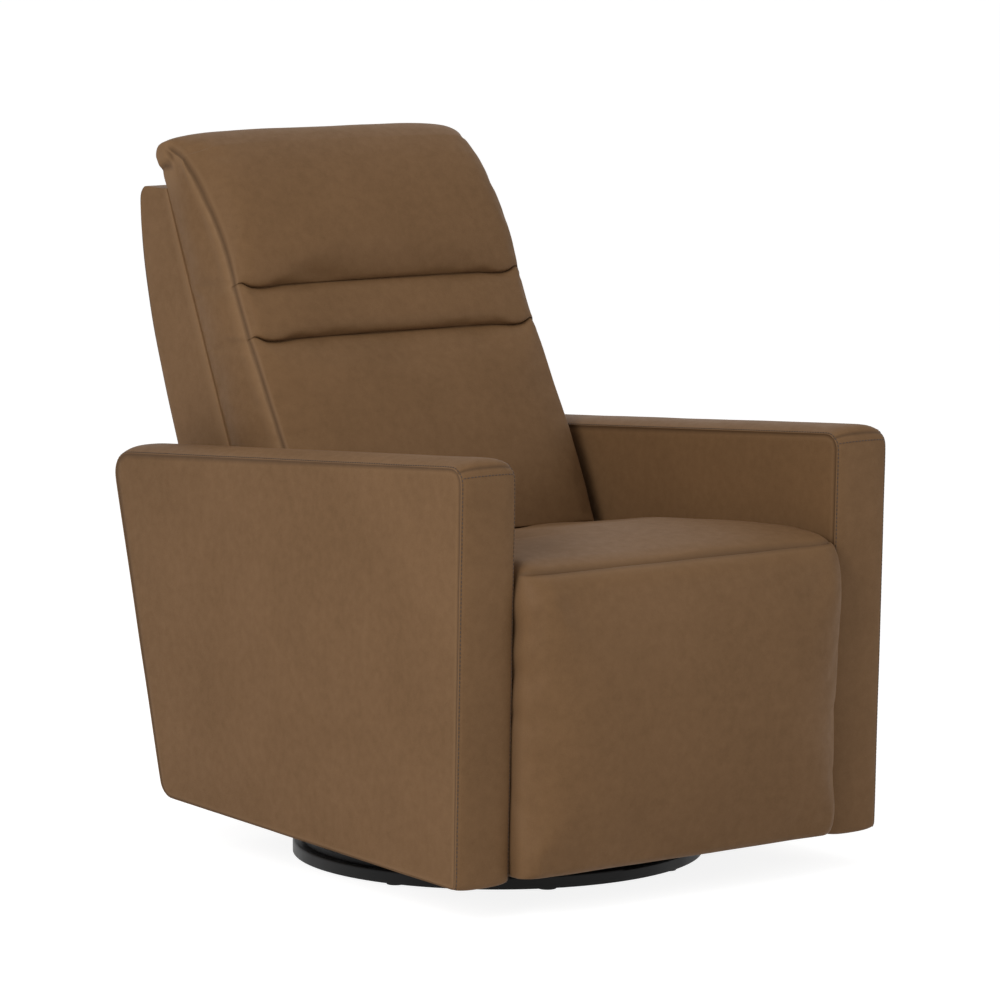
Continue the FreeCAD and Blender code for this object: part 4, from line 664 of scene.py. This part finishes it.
def seat_place(across, along, up):
    """A place on the seat's cover before it is filled."""
    high = (up + 1) / 2
    side = abs(across) * SEAT_HALF
    front = SEAT_APRON + (SEAT_NOSE - SEAT_APRON) * high
    front += CORNER_BACK * rounded(side - SEAT_HALF + SEAT_CORNER, SEAT_CORNER)
    rear = SEAT_REAR + SEAT_TONGUE * smooth((TONGUE_HALF - side) / TONGUE_STEP)
    y = front + (rear - front) * (along + 1) / 2
    foot = SEAT_FOOT - (y - SEAT_APRON) * SEAT_TILT + TONGUE_RISE * smooth((y - RISE_Y) / RISE_LENGTH)
    foot -= SEAT_LIP * (along < -ON_FACE) * smooth((LIP_HALF - side) / LIP_STEP)
    fall = SEAT_DROP * (1 - DROP_EASED * smooth((y - EASED_Y) / EASED_LENGTH))
    top = traced(SEAT_CROWN, y)[0] - fall * rounded(side - SEAT_HALF + SEAT_SHOULDER, SEAT_SHOULDER)
    top += SEAT_WAVE * math.sin(WAVE_PITCH * across) * smooth((-0.4 - along) / 0.6)
    from_seam = (along + 1) * SEAT_LENGTH
    give = GRIP_ROOM * by_grip(y) * max(-across, 0) ** 6
    place = Vector((across * SEAT_HALF + give, y, foot + (top - foot) * high))
    # Paler along the front seam, partly rubbed wear and partly painted highlight, and painted shade right in the
    # seam.
    return place, 0.4 * (1 - smooth(from_seam / 0.015)), 0.5 * (1 - smooth(from_seam / 0.003))


seat = sliced_block("seat_leather", spaced(-1, 1, 55), spaced(-1, 1, 55), spaced(-1, 1, 9))
pattern = [tuple(vertex.co) for vertex in seat.data.vertices]
form(seat, seat_place)
held_down = []
for (across, along, up), vertex in zip(pattern, seat.data.vertices):
    near_seam = SEAM_HOLD * (1 - smooth((along + 1) * SEAT_LENGTH / SEAT_HELD))
    near_grip = by_grip(vertex.co.y) * smooth((-across - 0.8) / 0.1)
    held_down.append(1.0 if up < -0.3 or along < -ON_FACE else max(near_seam, near_grip))
fill_cover(seat, held_down, slack=0.0, room=0.287)
soften(seat, depth=0.0008, size=0.08)
upholster(seat, "carriage", "seat_cushion")


# Footrest: a padded leather panel on a plywood board. It hangs as the chair's front while it is closed, and
# its cover is gathered a little along the right side.
PAD_BACK, PAD_WRAP, PAD_HALF = -0.470, -0.430, 0.287
# How far the panel stands out along its sides, by height.
PAD_DEPTH = (
    (0.061, 0.009), (0.068, 0.014), (0.080, 0.016), (0.092, 0.017), (0.128, 0.019), (0.203, 0.023), (0.276, 0.029),
    (0.350, 0.034), (0.409, 0.037), (0.440, 0.034), (0.462, 0.027), (0.475, 0.020), (0.481, 0.014), (0.485, 0.008),
)
# The cover's rows by height and columns by X. Below the hem, the rear is as deep as the board.
PAD_HEIGHTS = (
    0.061, 0.064, 0.068, 0.0735, 0.080, *spaced(0.080, 0.456, 40), 0.456, 0.464, 0.471, 0.477, 0.482, 0.485,
)
PAD_HEM, HEM_DEPTH = PAD_HEIGHTS[3], 0.018
PAD_SIDES = (0.05, 0.10, 0.145, 0.18, 0.205, 0.225, 0.24, 0.25, 0.258, 0.2635, 0.2665, 0.271, 0.276, 0.280, 0.284)
# The cover wraps the board's sides past this X, and its front's edge is rounded over a width, less so near the foot.
WRAP_X, PAD_EDGE, PAD_EDGE_FOOT, PAD_CROWN, PAD_TURN = 0.2632, 0.045, 0.018, 0.008, 0.014
# Rounded corners by how far they draw the side in, the height where they start, and how tall they are.
TOP_CORNER, LEFT_FOOT, RIGHT_FOOT = (0.006, 0.452, 0.034), (0.012, 0.135, 0.075), (0.004, 0.1, 0.04)
# The gathers along the right side: how deep, and how close.
PAD_GATHER, GATHER_PITCH = 0.0016, 95
# How far below the top seam the leather is held.
PAD_HELD = 0.06


def step_of(share, steps):
    """Which of the even cuts of a block a place from -1 to 1 is on."""
    return round((share + 1) / 2 * (len(steps) - 1))


def pad_place(across, depth, up):
    """A place on the footrest's cover before it is filled."""
    z = PAD_HEIGHTS[step_of(up, PAD_HEIGHTS)]
    drawn, start, tall = TOP_CORNER
    half = PAD_HALF - drawn * rounded(z - start, tall)
    drawn, start, tall = LEFT_FOOT if across > 0 else RIGHT_FOOT
    half -= drawn * rounded(start - z, tall)
    half -= PAD_GATHER * (1 + math.sin(z * GATHER_PITCH)) * smooth((z - 0.2) / 0.15) * (across < 0)
    side = abs(across) * half
    rear = PAD_BACK + (PAD_WRAP - PAD_BACK) * (side > WRAP_X)
    if z < PAD_HEM:
        rear = max(rear, PAD_BACK + HEM_DEPTH)
    full = traced(PAD_DEPTH, z)[0]
    edge = PAD_EDGE - PAD_EDGE_FOOT * smooth((0.15 - z) / 0.06)
    turned = (full + PAD_TURN) * rounded(side - half + edge, edge)
    full += PAD_CROWN * (1 - across ** 4) * (1 - up ** 6) - turned
    y = rear + (PAD_BACK - full - rear) * (1 - depth) / 2
    from_edge = min(half - side, PAD_HEIGHTS[-1] - z)
    # Paler along the sides and the top seam, partly rubbed wear and partly painted highlight, and painted shade right
    # at them.
    pale, dark = 0.4 * (1 - smooth(from_edge / 0.012)), 0.35 * (1 - smooth(from_edge / 0.003))
    return Vector((across * half, y, z)), pale, dark


pad_cuts = [place / PAD_HALF for place in PAD_SIDES]
footrest = sliced_block("footrest_leather", mirrored(pad_cuts), mirrored((0.35, 0.7)),
                        spaced(-1, 1, len(PAD_HEIGHTS) - 2))
pattern = [tuple(vertex.co) for vertex in footrest.data.vertices]
form(footrest, pad_place)
tacked = []
for (across, depth, up), vertex in zip(pattern, footrest.data.vertices):
    near_seam = SEAM_HOLD * (1 - smooth((PAD_HEIGHTS[-1] - vertex.co.z) / PAD_HELD))
    near_board = smooth((0.10 - vertex.co.z) / 0.025) * smooth((abs(across) - 0.5) / 0.2)
    sewn = depth > ON_FACE or up > ON_FACE or vertex.co.z < PAD_HEM + 0.001
    tacked.append(1.0 if sewn else max(near_seam, near_board))
fill_cover(footrest, tacked, slack=0.003, room=0.2875)
soften(footrest, depth=0.0008, size=0.08)
upholster(footrest, "footrest", "footrest_pad")


# Rear rail: a leather-covered board that closes the chair's rear between the arms, below the back. It is
# lightly padded on its outer face.
low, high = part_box("rear_rail")
rail_middle, rail_half = (low + high) / 2, (high - low) / 2
RAIL_PUFF = 0.004


def rail_place(across, depth, up):
    """A place on the rear rail, puffed out a little behind."""
    puff = RAIL_PUFF * (1 - across ** 4) * (1 - up ** 4) if depth > 0 else 0
    turned = Vector((across * rail_half.x, depth * rail_half.y + puff, up * rail_half.z))
    return rail_middle + turned, 0.0, 0.0


rail = sliced_block("rear_rail_leather", spaced(-1, 1, 20), (-0.9, 0.9), mirrored((0.5, 0.9)))
form(rail, rail_place)
soften(rail, depth=0.0006, size=0.08, levels=2)
upholster(rail, "carriage", "rear_rail")


# Back shell: the padded outside of the back, leather over a wooden frame. A seam runs down each side where
# the rear panel meets the side strip, and a thin tail hangs below to the rear rail.
SHELL_HALF, SHELL_SEAM, SHELL_ROUND = 0.263, 0.240, 0.012
# The tail: how thick it is, and the height where the shell begins above it.
TAIL_THICK, TAIL_TOP = 0.028, 0.4302
# How far the padding stands over the shell's lines behind, in front and at the sides, and how its rear panel puffs.
SHELL_BEHIND, SHELL_AHEAD, SHELL_BESIDE, SHELL_PUFF = 0.005, 0.002, 0.002, 0.004
# The seams behind: how deep and how wide their crease is, and where the stitches run, as a share of their X.
CREASE_DEPTH, CREASE_WIDTH, SHELL_STITCH, SHELL_STITCH_OUT = 0.0028, 0.006, 0.975, 0.0037
# The front's line: where it is at a height, and how far it leans.
FRONT_Y, FRONT_Z, FRONT_LEAN = 0.448, 0.967, math.tan(math.radians(24))
# The rear's line by height, from the tail's foot to the top.
SHELL_REAR = (
    (0.230, 0.278), (0.578, 0.419), (0.625, 0.438), (0.672, 0.457), (0.719, 0.474), (0.766, 0.489), (0.814, 0.502),
    (0.862, 0.511), (0.910, 0.517), (0.950, 0.518), (0.960, 0.514), (0.966, 0.505),
)
# The cover's columns by X, close together at the seam, and its rows by height.
SHELL_SIDES = (0.06, 0.12, 0.17, 0.21, 0.228, 0.236, SHELL_SEAM, 0.244, 0.250, 0.255, 0.2585, 0.261)
SHELL_HEIGHTS = (
    0.230, 0.234, 0.242, 0.26, 0.29, 0.32, 0.35, 0.38, 0.41, 0.424, 0.430, 0.4305, 0.436, 0.45, 0.47, 0.50, 0.53,
    0.56, 0.59, 0.62, 0.65, 0.68, 0.71, 0.74, 0.77, 0.80, 0.83, 0.86, 0.89, 0.915, 0.935, 0.948, 0.956, 0.962, 0.966,
)


def lean_y(z):
    """Where the shell's front is at a height."""
    return FRONT_Y - (FRONT_Z - z) * FRONT_LEAN


def shell_place(across, depth, up):
    """A place on the back's shell: puffed panels between the seams, and the tail below."""
    z = SHELL_HEIGHTS[step_of(up, SHELL_HEIGHTS)]
    rear = traced(SHELL_REAR, z)[0]
    front = lean_y(z) - SHELL_AHEAD if z > TAIL_TOP else rear - TAIL_THICK
    rear += SHELL_BEHIND
    side = abs(across) * SHELL_HALF
    foot, tall = SHELL_HEIGHTS[0], SHELL_HEIGHTS[-1] - SHELL_HEIGHTS[0]
    level = 1 - abs(2 * (z - foot) / tall - 1) ** 6
    from_seam, from_front = abs(side - SHELL_SEAM), (depth + 1) * 0.06
    if depth > ON_FACE:
        rear += SHELL_PUFF * (1 - (side / SHELL_HALF) ** 8) * level
        rear -= CREASE_DEPTH * (1 - smooth(from_seam / CREASE_WIDTH))
        rear -= SHELL_ROUND * rounded(side - SHELL_HALF + SHELL_ROUND, SHELL_ROUND)
    x = math.copysign(side, across)
    if abs(across) > ON_FACE:
        x += math.copysign(SHELL_BESIDE, across) * level * (1 - max(depth, 0) ** 4)
    place = Vector((x, front + (rear - front) * (depth + 1) / 2, z))
    # Paler near the seams and the front, partly rubbed wear and partly painted highlight, and painted shade in the
    # seams' creases.
    return place, 1 - smooth(min(from_seam, from_front) / 0.01), 0.8 * (1 - smooth(from_seam / 0.003))


shell_cuts = [place / SHELL_HALF for place in SHELL_SIDES]
shell = sliced_block("back_shell_leather", mirrored(shell_cuts), mirrored((0.35, 0.7, 0.94)),
                     spaced(-1, 1, len(SHELL_HEIGHTS) - 2))
form(shell, shell_place)
soften(shell, depth=0.0006, size=0.08)
upholster(shell, "back", "back_shell")
for number, side in enumerate((-SHELL_SEAM, SHELL_SEAM)):
    inner = side * SHELL_STITCH
    path = [(inner, traced(SHELL_REAR, z)[0] + SHELL_STITCH_OUT, z) for z in spaced(0.25, 0.94, 120)]
    sew(f"shell_stitch_{number}", path, "back", shell)


# Back cushion: a boxed leather cushion on the shell. Two sewn channels divide its face, and the head panel
# rolls over the top to a flap behind.
CUSHION_HALF, CUSHION_CROWN, CUSHION_EDGE = 0.262, 0.007, 0.016
# The way into the face, in Y and Z.
CHANNEL_SLOPE = Vector((0.885, -0.465))
# The face by height, from the foot to the brow, and the top by share from the brow to the flap.
CUSHION_FACE = (
    (0.461, 0.062), (0.535, 0.093), (0.600, 0.125), (0.664, 0.162), (0.714, 0.190), (0.758, 0.216), (0.795, 0.237),
    (0.829, 0.252), (0.853, 0.260), (0.878, 0.266), (0.905, 0.275), (0.930, 0.286), (0.955, 0.300), (0.980, 0.318),
    (1.004, 0.340), (1.028, 0.370),
)
CUSHION_TOP = (
    (0.0, 0.370, 1.028), (0.25, 0.395, 1.039), (0.5, 0.425, 1.044), (0.75, 0.452, 1.041), (0.9, 0.468, 1.030),
    (1.0, 0.471, 1.014),
)
CUSHION_REAR = ((0.461, 0.2227), (0.965, 0.446), (0.985, 0.456), (1.014, 0.471))
# How far the face draws back at its sides, by height, and how far the top hangs down there, from brow to flap.
FACE_DROP = ((0.461, 0.009), (0.850, 0.010), (0.890, 0.018), (0.933, 0.027), (0.968, 0.034), (1.028, 0.036))
FLAP_DROP = ((0.0, 0.0), (0.3, 0.010), (0.45, 0.010), (0.6, 0.005), (1.0, 0.003))
# The roll of the side strip beside the face's seam, by share of its depth: how far it stands out.
GUSSET_ROLL = (
    (0.0, 0.0), (0.012, 0.0022), (0.03, 0.0042), (0.06, 0.0058), (0.10, 0.0064), (0.15, 0.0056), (0.22, 0.0036),
    (0.42, 0.0012), (0.78, 0.0008), (0.95, 0.0004), (1.0, -0.0006),
)
# A channel from below to above: step along the face, and how deep it is sewn in.
CHANNEL = (
    (-0.022, 0.0004), (-0.014, 0.0012), (-0.009, 0.0025), (-0.005, 0.0045), (-0.002, 0.0076), (0.0, 0.0115),
    (0.0010, 0.0142), (0.0005, 0.0106), (-0.0003, 0.0070), (-0.0004, 0.0040), (0.0010, 0.0012), (0.0060, -0.0010),
    (0.0140, -0.0020),
)
# The heights of the channels, and the depth past which they are sewn down.
CHANNEL_HEIGHTS, CHANNEL_SEWN = (0.755, 0.832), 0.0095
# Where a channel meets the side seam: it gets shallower by a share past an X, and its line first dips a little and
# then turns up, each by how far, at which X and how wide.
PINCH, PINCH_X, PINCH_WIDTH = 0.8, 0.236, 0.026
TURN_UP, TURN_DIP = (0.007, 0.255, 0.013), (0.002, 0.215, 0.02)
# The head's flap behind: how far along the side strip it starts, how far it hangs there and how far it grows, its
# thickness, and its crease's width.
FLAP_START, FLAP_LEAST, FLAP_GROWS, FLAP_THICK, FLAP_CREASE = 0.42, 0.003, 0.019, 0.003, 0.006
# How far the top's middle is raised, and the gathers beside the face's seam: how deep and how close they are.
TOP_CROWN, GATHER_DEPTH, GATHER_CLOSE = 0.004, 0.0011, 290
# Rows of the cover: height on the face, depth of the channel, the channel's height, and height on the side strip.
face_rows = [(z, 0.0, 0, z) for z in (0.461, 0.466, 0.476, *spaced(0.476, 0.725, 20))]
for height in CHANNEL_HEIGHTS:
    evenly = [CHANNEL[0][0]] + spaced(CHANNEL[0][0], CHANNEL[-1][0], len(CHANNEL) - 2) + [CHANNEL[-1][0]]
    face_rows += [(height + step, dip, height, height + even) for (step, dip), even in zip(CHANNEL, evenly)]
for z in (*spaced(0.850, 1.000, 13), 1.000, 1.006, 1.011, 1.016, 1.020, 1.0245, 1.028):
    face_rows.append((z, -0.002 * (1 - smooth((z - 0.85) / 0.06)), 0, z))
side_rows = (0.0, 0.012, 0.03, 0.06, 0.10, 0.15, 0.22, 0.31, 0.42, 0.54, 0.66, 0.78, 0.88, 0.95, 1.0)


def hump(place, height, middle, width):
    """A soft hump at a place."""
    return height * math.exp(-((place - middle) / width) ** 2)


def cushion_face(row, across):
    """A place in Y and Z on the face, with its channels, crown and rounded sides."""
    z, dip, channel, _ = row
    side = abs(across) * CUSHION_HALF
    pinch = 1 - PINCH * smooth((side - PINCH_X) / PINCH_WIDTH)
    z += (hump(side, *TURN_UP) - hump(side, *TURN_DIP)) * bool(channel)
    spot = Vector((traced(CUSHION_FACE, z)[0], z))
    drop = traced(FACE_DROP, z)[0]
    edge = rounded(side - CUSHION_HALF + CUSHION_EDGE + drop, CUSHION_EDGE + drop)
    crown = CUSHION_CROWN * (1 - across ** 4) - drop * edge
    return spot + CHANNEL_SLOPE * (dip * pinch - crown)


def cushion_place(across, depth, up):
    """A place on the back cushion's cover before it is filled."""
    row = face_rows[step_of(up, face_rows)]
    share = side_rows[step_of(depth, side_rows)]
    tall = (up + 1) / 2
    plain = (row[3], 0.0, 0, row[3])
    front = cushion_face(row, across).lerp(cushion_face(plain, across), smooth(share / 0.05))
    foot, brow, nape = CUSHION_FACE[0][0], CUSHION_FACE[-1][0], CUSHION_REAR[-1][0]
    rear_z = foot + (nape - foot) * (row[3] - foot) / (brow - foot)
    rear = Vector((traced(CUSHION_REAR, rear_z)[0], rear_z))
    flat_top = Vector(CUSHION_TOP[0][1:]).lerp(Vector(CUSHION_TOP[-1][1:]), share)
    spot = front.lerp(rear, share) + (Vector(traced(CUSHION_TOP, share)) - flat_top) * tall ** 12
    side = abs(across) * CUSHION_HALF
    fallen = traced(FLAP_DROP, share)[0]
    spot.y -= fallen * rounded(side - CUSHION_HALF + CUSHION_EDGE, CUSHION_EDGE) * tall ** 40
    spot.y += TOP_CROWN * (1 - across ** 4) * tall ** 12
    flap = FLAP_LEAST + FLAP_GROWS * smooth((share - FLAP_START) / 0.3)
    from_top = brow - row[0]
    if side > ON_FACE * CUSHION_HALF:
        uneven = 3 * noise.noise(Vector((0, row[3] * 40, across)))
        gather = GATHER_DEPTH * math.sin(row[3] * GATHER_CLOSE + uneven)
        gather *= smooth(share / 0.03) * smooth((0.3 - share) / 0.2)
        side += (traced(GUSSET_ROLL, share)[0] + gather) * smooth(from_top / 0.02)
        crease = 1 - smooth(abs(from_top - flap) / FLAP_CREASE)
        hang = FLAP_THICK * smooth((flap - from_top) / FLAP_CREASE) - FLAP_THICK * crease
        side += smooth((share - FLAP_START) / 0.1) * hang
    from_seam = CUSHION_HALF * (1 - abs(across)) + min(share * 0.13, from_top + max(share - FLAP_START, 0))
    if share > FLAP_START and abs(across) > ON_FACE:
        from_seam = abs(from_top - flap) / 2
    # A paler strip on the side strip beside the seams, partly rubbed wear and partly painted highlight; painted shade
    # in the seams and the sewn-down channels.
    pale = smooth(from_seam / 0.004) - smooth(from_seam / 0.03) if abs(across) > ON_FACE else 0
    dark = max(0.7 - from_seam / 0.004, 0.5 * smooth((row[1] - 0.008) / 0.005) * (share == 0), 0)
    return Vector((math.copysign(side, across), *spot)), pale, dark


across_places = (0.04, 0.08, 0.115, 0.145, 0.17, 0.19, 0.206, 0.22, 0.23, 0.238, 0.244, 0.249, 0.253, 0.2565, 0.2595)
across_cuts = [place / CUSHION_HALF for place in across_places]
cushion = sliced_block("back_cushion_leather", mirrored(across_cuts),
                       spaced(-1, 1, len(side_rows) - 2), spaced(-1, 1, len(face_rows) - 2))
pattern = [tuple(vertex.co) for vertex in cushion.data.vertices]
form(cushion, cushion_place)
tied = []
for across, depth, up in pattern:
    row = face_rows[step_of(up, face_rows)]
    seam = depth < -ON_FACE and (abs(across) > ON_FACE or row[1] > CHANNEL_SEWN)
    tied.append(1.0 if depth > ON_FACE or up < -ON_FACE or seam else 0.0)
fill_cover(cushion, tied, slack=0.004, room=0.272)
soften(cushion, depth=0.0008, size=0.08)
upholster(cushion, "back", "back_cushion")


# Release: a plated steel lever on a stud at the right arm, with a black plastic grip. It sits low in the gap
# beside the seat, where a hand finds it.
GRIP = plain_material("black_grip", (0.016, 0.016, 0.017), (0.03, 0.03, 0.03),
                      patches=80, grain=1400, gloss=(0.45, 0.6))
coat(ZINC, "release_lever")
coat(GRIP, "release_grip")


# Studio: a plain pale floor under soft light from both sides and above. The camera stands where the
# photographer stood.
def seen_or_mirrored(tree):
    """1 where the camera sees a surface, straight or in a reflection, and 0 for the light that it gives."""
    path = add_node(tree, "LightPath")
    camera_or_gloss = {0: path.outputs["Is Camera Ray"], 1: path.outputs["Is Glossy Ray"]}
    either = add_node(tree, "Math", camera_or_gloss, operation="MAXIMUM")
    all_seen = {0: either.outputs[0], 1: path.outputs["Is Transmission Ray"]}
    return add_node(tree, "Math", all_seen, operation="MAXIMUM").outputs[0]


def floor_material():
    """A pale floor that is white to the eye, apart from the chair's own soft shadow."""
    material, tree, shader = new_material("pale_floor")
    shader.inputs["Base Color"].default_value = (0.8, 0.8, 0.8, 1)
    shader.inputs["Roughness"].default_value = 0.9
    shade = add_node(tree, "BsdfDiffuse", {"Color": (0.4, 0.4, 0.4, 1)})
    glow = add_node(tree, "Emission", {"Color": (1, 1, 1, 1), "Strength": 0.87})
    white = add_node(tree, "AddShader", {0: shade.outputs[0], 1: glow.outputs[0]})
    mix = add_node(tree, "MixShader", {0: seen_or_mirrored(tree), 1: shader.outputs[0], 2: white.outputs[0]})
    tree.links.new(mix.outputs[0], tree.nodes["Material Output"].inputs["Surface"])
    return material


FLOOR_SIZE = 200
bpy.ops.object.select_all(action="DESELECT")
bpy.ops.mesh.primitive_plane_add(size=FLOOR_SIZE)
floor = bpy.context.object
floor.name = "floor"
floor.data.materials.append(floor_material())
floor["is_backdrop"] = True

world = bpy.data.worlds.new("studio")
bpy.context.scene.world = world
world.use_nodes = True
sky = world.node_tree.nodes["Background"]
sky.inputs["Color"].default_value = (1, 1, 1, 1)
strength = remap(world.node_tree, seen_or_mirrored(world.node_tree), to_low=0.36, to_high=1.0)
world.node_tree.links.new(strength, sky.inputs["Strength"])

# Lamps by name, place, size and power, and the place that they are turned to.
LAMPS = (
    ("key", (-4.2, -1.8, 2.6), 2.6, 132),
    ("fill", (2.6, -4.2, 2.0), 2.6, 45),
    ("top", (0.2, 0.6, 3.8), 2.4, 18),
)
LIT_PLACE = Vector((0, 0, 0.5))
for name, place, size, power in LAMPS:
    lamp = bpy.data.lights.new(name, "AREA")
    lamp.size = size
    lamp.energy = power
    holder = bpy.data.objects.new(name, lamp)
    holder.location = place
    holder.visible_camera = False
    holder.rotation_euler = (LIT_PLACE - Vector(place)).to_track_quat("-Z", "Y").to_euler()
    bpy.context.scene.collection.objects.link(holder)

VIEW_TARGET, VIEW_DISTANCE = Vector((0, -0.035, 0.4903)), 7.607
VIEW_AZIMUTH, VIEW_ELEVATION = math.radians(-36.778), math.radians(7.708)
lens = bpy.data.cameras.new("camera")
lens.lens, lens.sensor_width = 186.1, 36
lens.shift_x, lens.shift_y = 0.0023, 0.0224
lens.clip_end = 100
camera = bpy.data.objects.new("camera", lens)
level = math.cos(VIEW_ELEVATION)
towards = (math.sin(VIEW_AZIMUTH) * level, -math.cos(VIEW_AZIMUTH) * level, math.sin(VIEW_ELEVATION))
camera.location = VIEW_TARGET + Vector(towards) * VIEW_DISTANCE
camera.rotation_euler = (-Vector(towards)).to_track_quat("-Z", "Y").to_euler()
bpy.context.scene.collection.objects.link(camera)
bpy.context.scene.camera = camera
bpy.context.scene.view_settings.view_transform = "Standard"

low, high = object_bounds()
